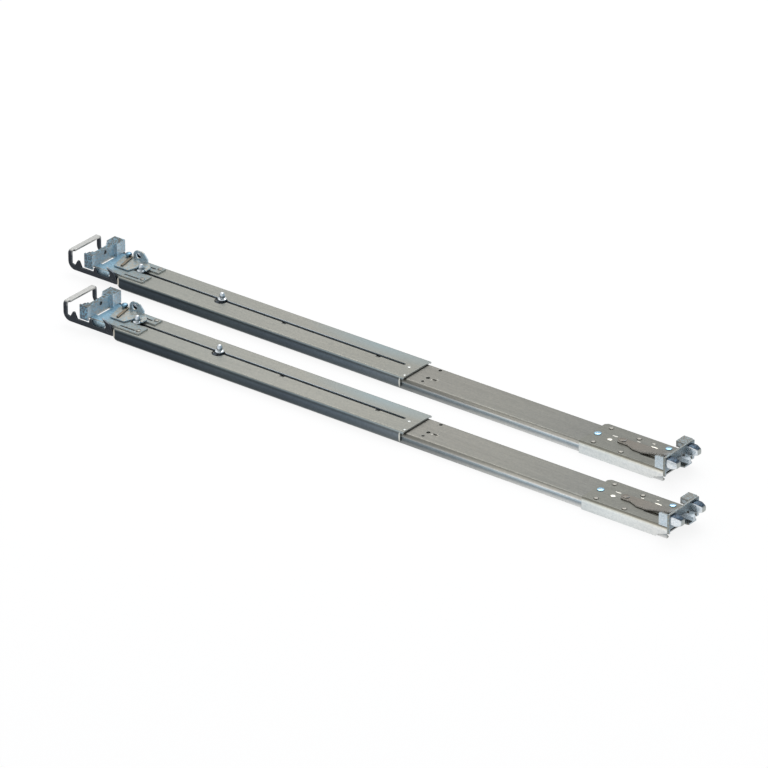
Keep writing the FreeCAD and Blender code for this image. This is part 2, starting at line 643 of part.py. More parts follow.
def front_flange():
    """Bearing flange behind the front post, with its near return and the folded box at its far end."""
    rear = FRONT_PLATE_FRONT
    foot = SLEEVE_TOP - FRONT_PLATE_SHEET
    low = FRONT_SIDE_RISE
    near = FLANGE_NEAR_Y
    far = FLANGE_FAR_Y
    side = SLEEVE_HALF - SHEET
    near_top = FLANGE_TOP - NEAR_RETURN_DROP
    corner = FLANGE_CORNER
    outline = [(near, low), (-side, low), (-side, foot), (side, foot), (side, low), (far, low),
               (far, FLANGE_TOP), (near, near_top)]
    wall = outline_yz(outline, [0, 0, 0, 0, 0, 0, corner, corner], rear, FLANGE_FACE)
    window = block(rear - ROOM, FLANGE_FACE + ROOM, LATCH_NECK_NEAR - LATCH_SWEEP - LATCH_WINDOW_GAP,
                   LATCH_NECK_FAR + LATCH_BARB + LATCH_WINDOW_GAP, LATCH_FLOOR - RUNNING_GAP,
                   LATCH_NOSE_TOP + LATCH_WINDOW_GAP)
    wall = wall.cut(window)
    back = FLANGE_FACE - RETURN_DEPTH
    near_return = outline_xz([(back, SLEEVE_TOP), (rear, SLEEVE_TOP), (rear, near_top), (back, near_top)],
                             [0, 0, 0, corner], near, near + RETURN_SHEET)
    ledge = block(back, rear, FAR_BOX_Y, far, FLANGE_TOP - RETURN_SHEET, FLANGE_TOP)
    cheek = block(back, rear, FAR_BOX_Y, FAR_BOX_Y + RETURN_SHEET, FLANGE_TOP - FAR_BOX_DROP, FLANGE_TOP)
    far_return = block(back, rear, far - RETURN_SHEET, far, SLEEVE_TOP, FLANGE_TOP)
    tip = FLANGE_FACE + TONGUE_REACH
    tongue = outline_xy([(rear, TONGUE_NEAR_Y), (tip, TONGUE_NEAR_Y + TONGUE_TAPER),
                         (tip, TONGUE_FAR_Y - TONGUE_TAPER), (rear, TONGUE_FAR_Y)],
                        [0] * 4, foot - TONGUE_SHEET, foot)
    return fused([wall, near_return, ledge, cheek, far_return, tongue])


def rack_pin(face_x, direction, y, reach):
    """Square pilot pin whose outer half tapers, standing on a flange."""
    full = PIN_SIZE / 2
    rings = []
    for distance, half in ((0, full), (reach * PIN_SHOULDER, full), (reach, full - PIN_TAPER)):
        x = face_x + direction * distance
        rings.append([Vector(x, y - half, PIN_Z - half), Vector(x, y + half, PIN_Z - half),
                      Vector(x, y + half, PIN_Z + half), Vector(x, y - half, PIN_Z + half)])
    return ringed(rings)


def front_pins():
    return Part.makeCompound([rack_pin(FLANGE_FACE, 1, y, FRONT_PIN_REACH) for y in (-PIN_Y, PIN_Y)])


def front_rivets():
    """Rivet heads that hold the plate on the outer member."""
    return Part.makeCompound([button(FRONT_PLATE_REAR + x, y, size, SLEEVE_TOP, HEAD_HEIGHT)
                              for x, y, size in FRONT_HEADS])


# Front latch

def front_latch():
    """Spring-steel arm whose barbed nose reaches through the flange into the middle rack hole."""
    rear = LATCH_PIVOT_X - LATCH_HEEL
    near = LATCH_PIVOT_Y - LATCH_HEEL_HALF
    far = LATCH_PIVOT_Y + LATCH_HEEL_HALF
    tip = FLANGE_FACE + LATCH_REACH
    barb_rear = tip - LATCH_BARB_LENGTH
    neck_rear = FLANGE_FACE - LATCH_NECK_LENGTH
    belly = [(LATCH_PIVOT_X + x, LATCH_PIVOT_Y + y) for x, y in LATCH_BELLY]
    outline = [(rear, near), (LATCH_PIVOT_X + LATCH_SHOULDER, near)] + belly
    outline += [(neck_rear, LATCH_NECK_NEAR), (tip, LATCH_NECK_NEAR), (tip, LATCH_NECK_FAR)]
    outline += [(neck_rear, LATCH_NECK_FAR + SHEET), (rear, far)]
    corner = LATCH_HEEL_CORNER
    arm = outline_xy(outline, [corner] + [0] * (len(outline) - 2) + [corner], LATCH_FLOOR, LATCH_TOP)
    nose = outline_xy([(neck_rear, LATCH_NECK_NEAR), (tip, LATCH_NECK_NEAR), (tip, LATCH_NECK_FAR),
                       (barb_rear, LATCH_NECK_FAR + LATCH_BARB), (barb_rear, LATCH_NECK_FAR),
                       (neck_rear, LATCH_NECK_FAR)], [0] * 6, LATCH_FLOOR, LATCH_NOSE_TOP)
    above = LATCH_NOSE_TOP + ROOM
    behind = neck_rear - ROOM
    ramp = outline_xz([(behind, LATCH_TOP), (neck_rear + LATCH_RAMP, above), (behind, above)],
                      [0] * 3, near, LATCH_NECK_FAR + LATCH_BARB + ROOM)
    bore = LATCH_PIN + 2 * PIVOT_GAP
    hole = upright_rod(LATCH_PIVOT_X, LATCH_PIVOT_Y, bore, LATCH_FLOOR - ROOM, LATCH_TOP + ROOM)
    return fused([arm, nose.cut(ramp)]).cut(hole)


def front_latch_rivet():
    top = LATCH_TOP + RUNNING_GAP
    return fused([upright_rod(LATCH_PIVOT_X, LATCH_PIVOT_Y, LATCH_PIN, SLEEVE_TOP, top),
                  button(LATCH_PIVOT_X, LATCH_PIVOT_Y, LATCH_RIVET, top, LATCH_RIVET_HEIGHT)])


# Rear bracket

def rear_bracket():
    """Plate riveted on the sleeve; it carries the rear flange and, on two ears, the latch hoop."""
    half = BRACKET_HALF_WIDTH
    way = STUD_HEAD / 2 + BRACKET_FORK_GAP
    fork = SLEEVE_REAR + BRACKET_FORK
    tip = half - BRACKET_TAPER
    front = BRACKET_FRONT
    outline = [(0, -half), (front, -tip), (front, SLOT_Y - way), (fork, SLOT_Y - way), (fork, SLOT_Y + way),
               (front, SLOT_Y + way), (front, tip), (0, half)]
    plate = outline_xy(outline, [0] * 8, SLEEVE_TOP, BRACKET_TOP)
    near, far = REAR_WINDOW
    window = block(REAR_FLANGE_DEPTH, REAR_FLANGE_DEPTH + REAR_WINDOW_LENGTH, near, far,
                   SLEEVE_TOP, BRACKET_TOP)
    plate = cut_all(plate, rear_slots(SLEEVE_TOP - ROOM) + [window])
    rear = HOOP_PIVOT_X - BRACKET_EAR_REAR
    ear_front = SLEEVE_REAR - RUNNING_GAP
    floor = SLEEVE_TOP - BRACKET_EAR_DROP
    step_x = HOOP_PIVOT_X + HOOP_STRAP_REAR - SIDE_GAP
    step_z = SLEEVE_TOP - BRACKET_EAR_STEP
    outline = [(rear, SLEEVE_TOP), (rear + BRACKET_EAR_TAPER, floor), (step_x, floor), (step_x, step_z),
               (ear_front, step_z), (ear_front, SLEEVE_TOP)]
    ear = outline_xz(outline, [0] * 6, half - BRACKET_SHEET, half)
    return fused([plate] + both_sides(ear))


def rear_flange():
    """Folded flange that bears on the rear post: a wall, a near panel, and a stepped box at the far end."""
    depth = REAR_FLANGE_DEPTH
    half = REAR_FLANGE_HALF
    sheet = REAR_FLANGE_SHEET
    floor = BRACKET_TOP
    top = REAR_FLANGE_TOP
    near_top = top - REAR_FLANGE_DROP
    box_y = half - REAR_PAD
    box_front = depth + REAR_BOX_STEP
    wall = block(depth - sheet, depth, -half, box_y + sheet, floor, near_top)
    y, z = SPY_HOLE_PLACE
    side = SPY_HOLE / 2
    spy = block(depth - sheet, depth, y - side, y + side, z - side, z + side)
    wall = wall.cut(spy)
    lip = block(depth - REAR_LIP, depth - sheet, -half, box_y, near_top - sheet, near_top)
    panel = block(0, depth, -half, -half + RETURN_SHEET, NEAR_PANEL_FLOOR, near_top)
    near_pad = block(0, sheet, -half, -box_y, floor, REAR_PAD_TOP)
    ledge = block(0, box_front, box_y, half, top - RETURN_SHEET, top)
    box_wall = outline_yz([(box_y, floor), (half, floor), (half, top), (box_y, top)],
                          [0, 0, FLANGE_CORNER, 0], box_front - sheet, box_front)
    box_cheek = block(depth, box_front, box_y, box_y + sheet, floor, top)
    far_panel = block(0, box_front - sheet, half - RETURN_SHEET, half, floor, top)
    far_pad = block(0, sheet, box_y, half, floor, top)
    return fused([wall, lip, panel, near_pad, ledge, box_wall, box_cheek, far_panel, far_pad])


def rear_pins():
    return Part.makeCompound([rack_pin(0, -1, y, REAR_PIN_REACH) for y in (-PIN_Y, PIN_Y)])


def rear_rivets():
    """Rivet heads that hold the bracket on the sleeve."""
    x = BRACKET_FRONT - REAR_HEAD_INSET
    return Part.makeCompound([button(x, y, REAR_HEAD, BRACKET_TOP, HEAD_HEIGHT) for y in REAR_HEADS])


# Rear latch hoop

def latch_hoop():
    """Sprung frame round the rear post: finned side strips and a hoop to press, folded from one sheet."""
    rear = HOOP_REAR
    leg = rear + HOOP_LEG
    floor = HOOP_FLOOR
    foot = HOOP_ARCH_FOOT
    overlap = foot + HOOP_ARCH_LAP
    outline = [(rear, floor), (HOOP_FINS[0][0], floor)] + list(HOOP_FINS)
    outline += [(leg, HOOP_LEG_HEEL), (leg, overlap), (rear, overlap)]
    radii = [0] * len(outline)
    radii[0] = HOOP_CORNER
    radii[3] = HOOP_HORN_CORNER
    inside = HOOP_HALF - HOOP_SHEET
    strip = outline_xz(outline, radii, inside, HOOP_HALF)
    arch = bent_sheet([(-HOOP_HALF, foot), (-HOOP_HALF, HOOP_TOP), (HOOP_HALF, HOOP_TOP), (HOOP_HALF, foot)],
                      [HOOP_ARCH_CORNER, HOOP_ARCH_CORNER], HOOP_SHEET, rear, leg)
    bar_end = inside - HOOP_BAR_INSET
    bar = block(leg, rear + HOOP_BAR, -bar_end, bar_end, HOOP_TOP - HOOP_SHEET, HOOP_TOP)
    strap_rear = HOOP_PIVOT_X + HOOP_STRAP_REAR
    strap = block(strap_rear, strap_rear + HOOP_STRAP_WIDTH, -inside, inside, floor, floor + HOOP_STRAP_SHEET)
    hoop = fused(both_sides(strip) + [arch, bar, strap])
    outside = HOOP_HALF + ROOM
    bore = Part.makeCylinder(HOOP_PIN / 2 + PIVOT_GAP, 2 * outside,
                             Vector(HOOP_PIVOT_X, -outside, HOOP_PIVOT_Z), Vector(0, 1, 0))
    return hoop.cut(bore)


def hoop_pivots():
    """Stub pins riveted to the bracket's ears, on which the strips of the hoop turn."""
    end = HOOP_HALF + RUNNING_GAP
    pin = Part.makeCylinder(HOOP_PIN / 2, end - BRACKET_HALF_WIDTH,
                            Vector(HOOP_PIVOT_X, BRACKET_HALF_WIDTH, HOOP_PIVOT_Z), Vector(0, 1, 0))
    return Part.makeCompound(both_sides(pin))


def hoop_spring():
    """Leaf spring under the bracket plate; its free end presses on the strap of the hoop."""
    half = HOOP_SPRING_WIDTH / 2
    sheet = HOOP_SPRING_SHEET
    top = SLEEVE_TOP
    rear = HOOP_SPRING_REAR
    bend = top - HOOP_SPRING_SLOPE
    foot = HOOP_FLOOR + HOOP_STRAP_SHEET + RUNNING_GAP
    end = HOOP_PIVOT_X + HOOP_STRAP_REAR + HOOP_SPRING_FOOT
    outline = [(rear, top), (rear, top - sheet), (end - sheet, bend), (end - sheet, foot), (end, foot),
               (end, bend + sheet), (rear + HOOP_SPRING_LAP, top)]
    return outline_xz(outline, [0] * 7, -half, half)


# Sleeve lock

def lock_lever():
    """Flat lever that hooks the rear stud and keeps the sleeve home, with an upturned eye to pull it."""
    x = LOCK_PIVOT_X
    y = LOCK_PIVOT_Y
    post = STUD_POST / 2
    rear = STUD_REAR_X - post - LOCK_HOOK_SWING
    front = STUD_REAR_X + post + SIDE_GAP
    tip = front + LOCK_HOOK_WIDTH
    far = SLOT_Y + post + SIDE_GAP
    near = LOCK_HOOK_NEAR
    outline = [(x + a, y + b) for a, b in LOCK_TAIL]
    outline += [(rear, near), (rear, far), (front, far), (front, near), (tip, near)]
    outline += [(tip, far + LOCK_HOOK_WIDTH)]
    outline += [(x + a, y + b) for a, b in LOCK_SHOULDER]
    radii = [0] * len(outline)
    radii[len(LOCK_TAIL) + 5] = LOCK_HOOK_CORNER
    radii[-2] = LOCK_SHOULDER_CORNER
    plate = outline_xy(outline, radii, LOCK_FLOOR, LOCK_TOP)
    corner = LOCK_EYE_CORNER
    eye = outline_xz([(x + a, LOCK_FLOOR + b) for a, b in LOCK_EYE_PLATE], [0, 0, 0, corner, corner, 0],
                     y, y + LOCK_EYE_SHEET)
    eye_x, eye_z = LOCK_EYE_PLACE
    eye = eye.cut(Part.makeCylinder(LOCK_EYE / 2, LOCK_EYE_SHEET + 2 * ROOM,
                                    Vector(x + eye_x, y - ROOM, LOCK_FLOOR + eye_z), Vector(0, 1, 0)))
    hole = upright_rod(x, y, LOCK_PIN + 2 * PIVOT_GAP, LOCK_FLOOR - ROOM, LOCK_TOP + ROOM)
    return fused([plate, eye]).cut(hole)


def lock_pin():
    """Pivot pin of the lock lever, its round head left tall as a knob."""
    neck_top = LOCK_TOP + LOCK_SPRING_SHEET + RUNNING_GAP
    neck = upright_rod(LOCK_PIVOT_X, LOCK_PIVOT_Y, LOCK_PIN, BRACKET_TOP, neck_top)
    return fused([neck, button(LOCK_PIVOT_X, LOCK_PIVOT_Y, LOCK_KNOB, neck_top, LOCK_KNOB_HEIGHT)])


def lock_spring():
    """Spring strip on the lever, from beside its pin to its near edge."""
    x = LOCK_PIVOT_X + LOCK_PIN / 2 + SIDE_GAP
    far = LOCK_PIVOT_Y
    near = far - LOCK_SPRING_LENGTH
    slant = LOCK_SPRING_SLANT
    width = LOCK_SPRING_WIDTH
    return outline_xy([(x, far), (x + slant, near), (x + slant + width, near), (x + width, far)],
                      [0] * 4, LOCK_TOP, LOCK_TOP + LOCK_SPRING_SHEET)


# Assembly

PIECES = {
    "outer_member": outer_member,
    "middle_member": middle_member,
    "inner_member": inner_member,
    "outer_ball_cage": lambda: ball_cage(OUTER_BALL_Y, OUTER_CAGE_TOP),
    "outer_balls": lambda: ball_rows(OUTER_BALL_Y),
    "inner_ball_cage": lambda: ball_cage(INNER_BALL_Y, INNER_CAGE_TOP),
    "inner_balls": lambda: ball_rows(INNER_BALL_Y),
    "stop_bumper": stop_bumper,
    "release_lever": release_lever,
    "release_pivot": release_pivot,
    "guide_studs": guide_studs,
    "sleeve": sleeve,
    "front_bracket": front_bracket,
    "front_flange": front_flange,
    "front_pins": front_pins,
    "front_rivets": front_rivets,
    "front_latch": front_latch,
    "front_latch_rivet": front_latch_rivet,
    "rear_bracket": rear_bracket,
    "rear_flange": rear_flange,
    "rear_pins": rear_pins,
    "rear_rivets": rear_rivets,
    "latch_hoop": latch_hoop,
    "hoop_pivots": hoop_pivots,
    "hoop_spring": hoop_spring,
    "lock_lever": lock_lever,
    "lock_pin": lock_pin,
    "lock_spring": lock_spring,
}

RAILS = {
    "left": Vector(-PAIR_STAGGER / 2 - MIDDLE_X, PAIR_SPACING / 2 - MIDDLE_Y, 0),
    "right": Vector(PAIR_STAGGER / 2 - MIDDLE_X, -PAIR_SPACING / 2 - MIDDLE_Y, 0),
}


def main():
    os.makedirs("parts", exist_ok=True)
    for name, make in PIECES.items():
        piece = make()
        for side, place in RAILS.items():
            placed = piece.translated(place)
            placed.exportStep(f"parts/{side}_{name}.step")


main()
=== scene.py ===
"""Looks of the sliding server rail pair: two telescoping rack rails of zinc-plated steel."""
import math

import bmesh
import bpy
import numpy as np
from mathutils import Matrix, Vector


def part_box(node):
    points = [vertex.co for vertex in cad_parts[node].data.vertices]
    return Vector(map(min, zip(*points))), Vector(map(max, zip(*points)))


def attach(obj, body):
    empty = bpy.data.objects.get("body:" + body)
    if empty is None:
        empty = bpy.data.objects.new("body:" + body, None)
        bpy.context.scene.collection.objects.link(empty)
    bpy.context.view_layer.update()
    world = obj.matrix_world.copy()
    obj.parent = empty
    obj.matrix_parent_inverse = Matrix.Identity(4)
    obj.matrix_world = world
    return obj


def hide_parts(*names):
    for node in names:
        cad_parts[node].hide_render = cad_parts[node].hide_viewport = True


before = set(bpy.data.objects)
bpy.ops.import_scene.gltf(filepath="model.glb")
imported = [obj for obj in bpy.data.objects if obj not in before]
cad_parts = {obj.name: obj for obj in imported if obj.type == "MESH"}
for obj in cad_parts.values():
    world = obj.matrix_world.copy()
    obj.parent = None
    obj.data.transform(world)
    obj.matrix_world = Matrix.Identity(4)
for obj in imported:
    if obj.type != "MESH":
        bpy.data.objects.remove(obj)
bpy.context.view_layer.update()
scene = bpy.context.scene
MM = 0.001
SIDES = ("left", "right")

# A rail's own frame, in mm: its rear bearing face is x = 0, its middle is y = 0 and the floor is z = 0.
ORIGIN = {}
for side in SIDES:
    sleeve_low, sleeve_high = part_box(f"{side}_sleeve")
    rear_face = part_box(f"{side}_rear_flange")[0].x
    ORIGIN[side] = np.array([rear_face / MM, (sleeve_low.y + sleeve_high.y) / 2 / MM, 0.0])

# The camera stands where the long edges of both rails in the photograph meet it: far off, well above
# the rails and a long way round their front ends. Its eye is given in the far rail's frame, in mm.
TURN = math.radians(37.649)
TILT = math.radians(27.337)
EYE_FROM_FAR_RAIL = (3810.7, -4502.6, 2925.5)
FOCAL_PIXELS = 7000.0
FRAME_PIXELS = 768.0
SENSOR = 36.0
FARTHEST_SEEN = 20.0

ahead = Vector((-math.sin(TURN) * math.cos(TILT), math.cos(TURN) * math.cos(TILT), -math.sin(TILT)))
right = Vector((math.cos(TURN), math.sin(TURN), 0.0))
up = right.cross(ahead)
eye = Vector(ORIGIN["left"] + EYE_FROM_FAR_RAIL) * MM
camera_data = bpy.data.cameras.new("camera")
camera_data.sensor_width = SENSOR
camera_data.lens = FOCAL_PIXELS / FRAME_PIXELS * SENSOR
camera_data.clip_end = FARTHEST_SEEN
camera = bpy.data.objects.new("camera", camera_data)
camera.matrix_world = Matrix.Translation(eye) @ Matrix((right, up, -ahead)).transposed().to_4x4()
scene.collection.objects.link(camera)
scene.camera = camera

# A pale floor under both rails, lit by a soft white room and one large lamp that hangs high behind
# them. What the camera and the steel see of the floor is partly a plain white, so its shadows stay pale.
FLOOR_HALF = 6.0
FLOOR_COLOR = (0.93, 0.93, 0.93, 1.0)
FLOOR_ROUGHNESS = 0.9
FLOOR_GLOSS = 0.1
FLOOR_WHITE_SHARE = 0.86
ROOM_COLOR = (0.97, 0.98, 1.0, 1.0)
ROOM_STRENGTH = 0.86
LAMP_PLACE = Vector((-0.6, 1.1, 1.9))
LAMP_AIM = Vector((0.0, 0.0, 0.0))
LAMP_SIZE = 1.6
LAMP_POWER = 22.0

floor_mesh = bpy.data.meshes.new("studio_floor")
floor_corners = [(x * FLOOR_HALF, y * FLOOR_HALF, 0) for x, y in ((-1, -1), (1, -1), (1, 1), (-1, 1))]
floor_mesh.from_pydata(floor_corners, [], [(0, 1, 2, 3)])
floor = bpy.data.objects.new("studio_floor", floor_mesh)
scene.collection.objects.link(floor)
floor_paint = bpy.data.materials.new("pale_floor")
floor_paint.use_nodes = True
floor_nodes = floor_paint.node_tree.nodes
floor_link = floor_paint.node_tree.links.new
floor_shader = floor_nodes["Principled BSDF"]
floor_shader.inputs["Base Color"].default_value = FLOOR_COLOR
floor_shader.inputs["Roughness"].default_value = FLOOR_ROUGHNESS
floor_shader.inputs["Specular IOR Level"].default_value = FLOOR_GLOSS
seen_by = floor_nodes.new("ShaderNodeLightPath")
camera_or_gloss = floor_nodes.new("ShaderNodeMath")
camera_or_gloss.operation = "MAXIMUM"
floor_link(seen_by.outputs["Is Camera Ray"], camera_or_gloss.inputs[0])
floor_link(seen_by.outputs["Is Glossy Ray"], camera_or_gloss.inputs[1])
or_through = floor_nodes.new("ShaderNodeMath")
or_through.operation = "MAXIMUM"
floor_link(camera_or_gloss.outputs[0], or_through.inputs[0])
floor_link(seen_by.outputs["Is Transmission Ray"], or_through.inputs[1])
white_share = floor_nodes.new("ShaderNodeMath")
white_share.operation = "MULTIPLY"
white_share.inputs[1].default_value = FLOOR_WHITE_SHARE
floor_link(or_through.outputs[0], white_share.inputs[0])
plain_white = floor_nodes.new("ShaderNodeEmission")
plain_white.inputs["Strength"].default_value = 1.0
floor_mix = floor_nodes.new("ShaderNodeMixShader")
floor_link(white_share.outputs[0], floor_mix.inputs["Fac"])
floor_link(floor_shader.outputs["BSDF"], floor_mix.inputs[1])
floor_link(plain_white.outputs["Emission"], floor_mix.inputs[2])
floor_link(floor_mix.outputs["Shader"], floor_nodes["Material Output"].inputs["Surface"])
floor_mesh.materials.append(floor_paint)

room = bpy.data.worlds.new("soft_room")
room.use_nodes = True
room.node_tree.nodes["Background"].inputs["Color"].default_value = ROOM_COLOR
room.node_tree.nodes["Background"].inputs["Strength"].default_value = ROOM_STRENGTH
scene.world = room

lamp_data = bpy.data.lights.new("soft_lamp", "AREA")
lamp_data.size = LAMP_SIZE
lamp_data.energy = LAMP_POWER
lamp = bpy.data.objects.new("soft_lamp", lamp_data)
lamp.location = LAMP_PLACE
lamp.rotation_euler = (LAMP_AIM - LAMP_PLACE).to_track_quat("-Z", "Y").to_euler()
scene.collection.objects.link(lamp)
scene.view_settings.view_transform = "Standard"


# Telescoping sleeves: channels of cold-rolled sheet with matt zinc plate, which slide along the outer
# members. The broad face is a warm pale grey that turns bluer towards its front end, and the folded side
# walls carry painted shade, dark at the rear and lighter towards the front, with a painted highlight line
# on the bend.
FACING_SPAN = (0.45, 0.80)
MOTTLE_SIZE = 1.5
MOTTLE_TINT = (206, 212, 220)
STREAK_STRETCH = (18.0, 420.0, 420.0)
STREAK_SPAN = (0.35, 0.75)
STREAK_TINT = (190, 190, 188)
FRECKLE_SPAN = (0.46, 0.62)
PIT_SPAN = (0.50, 0.66)
PIT_FINENESS = 1.3
PIT_TINT = (150, 140, 125)
RIM_RADIUS = 0.4
# Painted highlight on the edges: a pale colour laid where the bevel's rounded normal turns from the true
# one.
EDGE_HIGHLIGHT_SPAN = (0.99, 0.80)
EDGE_HIGHLIGHT_TINT = (215, 218, 218)
GRAIN_SCALE = 900.0
GRAIN_STRETCH = (0.25, 1.0, 1.0)
GRAIN_SPAN = (0.3, 0.7)
GRAIN_ROUGHNESS = 0.06
GRAIN_STRENGTH = 0.12
GRAIN_DEPTH = 0.05
NOISE_DETAIL = 2.0
EVEN = (1.0, 1.0, 1.0)


def srgb(red, green, blue):
    """A colour of 0 to 255 as written on a screen, in the linear form that a shader takes: a straight
    line below a small limit and a power of 2.4 above it."""
    value = np.array([red, green, blue]) / 255.0
    linear = np.where(value <= 0.04045, value / 12.92, ((value + 0.055) / 1.055) ** 2.4)
    return (*[float(part) for part in linear], 1.0)


def plated_steel(name, side, top, wall, end, metallic=1.0, roughness=0.42, rim=0.35, mottle=0.16,
                 streaks=0.15, speckle=0.0, speckle_color=(120, 185, 215), speckle_size=1.5, spots=()):
    """Zinc-plated steel. Faces that look up, sideways and endways take the colours top, wall and end, each
    a dict of stops along x, y and z in the rail's own mm whose colours multiply; these paint in the light
    and shade that fall differently on each facing and along the rail. A mottle of zinc crystals, long
    rolling streaks, coloured speckles whose blue flecks are partly painted glints, painted highlights on
    the rims and soft-edged spots, most of them painted highlights and painted shade, lie over them. A spot
    is a centre, the radii of an ellipsoid, a colour and the share of the radius over which it fades."""
    paint = bpy.data.materials.new(f"{side}_{name}")
    paint.use_nodes = True
    nodes = paint.node_tree.nodes
    link = paint.node_tree.links.new
    shader = nodes["Principled BSDF"]
    shader.inputs["Metallic"].default_value = metallic
    place = nodes.new("ShaderNodeTexCoord")
    axes = nodes.new("ShaderNodeSeparateXYZ")
    link(place.outputs["Object"], axes.inputs[0])

    def remap(value, span, low=0.0, high=1.0):
        """The value, carried in a straight line from its span to low and high, and held there outside."""
        step = nodes.new("ShaderNodeMapRange")
        step.inputs["From Min"].default_value = span[0]
        step.inputs["From Max"].default_value = span[1]
        step.inputs["To Min"].default_value = low
        step.inputs["To Max"].default_value = high
        link(value, step.inputs["Value"])
        return step.outputs["Result"]

    def ramp(axis, stops):
        """Colour that runs through the stops along one axis."""
        first = stops[0][0]
        length = stops[-1][0] - first
        start = (first + ORIGIN[side]["XYZ".index(axis)]) * MM
        colors = nodes.new("ShaderNodeValToRGB")
        bands = colors.color_ramp.elements
        bands[0].position = 0.0
        bands[0].color = srgb(*stops[0][1])
        bands[1].position = 1.0
        bands[1].color = srgb(*stops[-1][1])
        for at, color in stops[1:-1]:
            bands.new((at - first) / length).color = srgb(*color)
        link(remap(axes.outputs[axis], (start, start + length * MM)), colors.inputs["Fac"])
        return colors.outputs["Color"]

    def mixed(kind, factor, first, second):
        """Two colours blended by the factor; each of the three is a fixed value or a node's output."""
        mix = nodes.new("ShaderNodeMix")
        mix.data_type = "RGBA"
        mix.blend_type = kind
        for value, socket in ((factor, "Factor"), (first, "A"), (second, "B")):
            if isinstance(value, (float, tuple)):
                mix.inputs[socket].default_value = value
            else:
                link(value, mix.inputs[socket])
        return mix.outputs["Result"]

    def face_color(stops):
        """One plain colour, or the product of the ramps along the axes that have stops."""
        colors = [ramp(axis, stops[axis]) for axis in "XYZ" if axis in stops]
        color = colors[0] if colors else srgb(*stops["plain"])
        for other in colors[1:]:
            color = mixed("MULTIPLY", 1.0, color, other)
        return color

    def noise(scale, stretch):
        """Cloudy noise on the piece's own place, finer along an axis by its stretch."""
        turn = nodes.new("ShaderNodeMapping")
        turn.inputs["Scale"].default_value = stretch
        link(place.outputs["Object"], turn.inputs["Vector"])
        cloud = nodes.new("ShaderNodeTexNoise")
        cloud.inputs["Scale"].default_value = scale
        cloud.inputs["Detail"].default_value = NOISE_DETAIL
        link(turn.outputs["Vector"], cloud.inputs["Vector"])
        return cloud.outputs["Fac"]

    def facing(axis):
        """How far a face looks either way along the axis: the size of that part of its normal."""
        size = nodes.new("ShaderNodeMath")
        size.operation = "ABSOLUTE"
        link(looks.outputs[axis], size.inputs[0])
        return size.outputs[0]

    looks = nodes.new("ShaderNodeSeparateXYZ")
    link(place.outputs["Normal"], looks.inputs[0])
    # Painted light and shade: each face takes the colour for the way it looks, top, wall or end.
    color = mixed("MIX", remap(facing("Y"), FACING_SPAN), face_color(top), face_color(wall))
    color = mixed("MIX", remap(facing("X"), FACING_SPAN), color, face_color(end))

    cells = nodes.new("ShaderNodeTexVoronoi")
    cells.inputs["Scale"].default_value = 1.0 / (MOTTLE_SIZE * MM)
    link(place.outputs["Object"], cells.inputs["Vector"])
    tone = nodes.new("ShaderNodeSeparateColor")
    link(cells.outputs["Color"], tone.inputs[0])
    crystals = remap(tone.outputs[0], (0.0, 1.0), high=2.0 * mottle)
    color = mixed("MULTIPLY", crystals, color, srgb(*MOTTLE_TINT))
    rolled = remap(noise(1.0, STREAK_STRETCH), STREAK_SPAN, high=streaks)
    color = mixed("MULTIPLY", rolled, color, srgb(*STREAK_TINT))
    if speckle > 0.0:
        # Blue freckles, partly the plate's own blue and partly painted glints, then brown pits.
        freckles = remap(noise(1.0 / (speckle_size * MM), EVEN), FRECKLE_SPAN, high=speckle)
        color = mixed("MIX", freckles, color, srgb(*speckle_color))
        pits = remap(noise(PIT_FINENESS / (speckle_size * MM), EVEN), PIT_SPAN, high=speckle)
        color = mixed("MULTIPLY", pits, color, srgb(*PIT_TINT))

    round_edge = nodes.new("ShaderNodeBevel")
    round_edge.samples = 4
    round_edge.inputs["Radius"].default_value = RIM_RADIUS * MM
    true_face = nodes.new("ShaderNodeNewGeometry")
    match = nodes.new("ShaderNodeVectorMath")
    match.operation = "DOT_PRODUCT"
    link(round_edge.outputs["Normal"], match.inputs[0])
    link(true_face.outputs["Normal"], match.inputs[1])
    # Painted highlight along the edges, as strong as rim.
    color = mixed("MIX", remap(match.outputs["Value"], EDGE_HIGHLIGHT_SPAN, high=rim), color, srgb(*EDGE_HIGHLIGHT_TINT))
    for centre, radii, spot_color, soft in spots:
        away = nodes.new("ShaderNodeVectorMath")
        away.operation = "SUBTRACT"
        link(place.outputs["Object"], away.inputs[0])
        away.inputs[1].default_value = (ORIGIN[side] + centre) * MM
        share = nodes.new("ShaderNodeVectorMath")
        share.operation = "DIVIDE"
        link(away.outputs[0], share.inputs[0])
        share.inputs[1].default_value = np.array(radii) * MM
        reach = nodes.new("ShaderNodeVectorMath")
        reach.operation = "LENGTH"
        link(share.outputs[0], reach.inputs[0])
        inside = remap(reach.outputs["Value"], (1.0, 1.0 - soft))
        color = mixed("MIX", inside, color, srgb(*spot_color))
    link(color, shader.inputs["Base Color"])

    fine = noise(GRAIN_SCALE, GRAIN_STRETCH)
    worn = remap(fine, GRAIN_SPAN, roughness - GRAIN_ROUGHNESS, roughness + GRAIN_ROUGHNESS)
    link(worn, shader.inputs["Roughness"])
    bump = nodes.new("ShaderNodeBump")
    bump.inputs["Strength"].default_value = GRAIN_STRENGTH
    bump.inputs["Distance"].default_value = GRAIN_DEPTH * MM
    link(fine, bump.inputs["Height"])
    link(round_edge.outputs["Normal"], bump.inputs["Normal"])
    link(bump.outputs["Normal"], shader.inputs["Normal"])
    return paint


def coat(node, paint):
    """Gives a CAD node that paint on every face."""
    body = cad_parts[node]
    body.data.materials.clear()
    body.data.materials.append(paint)


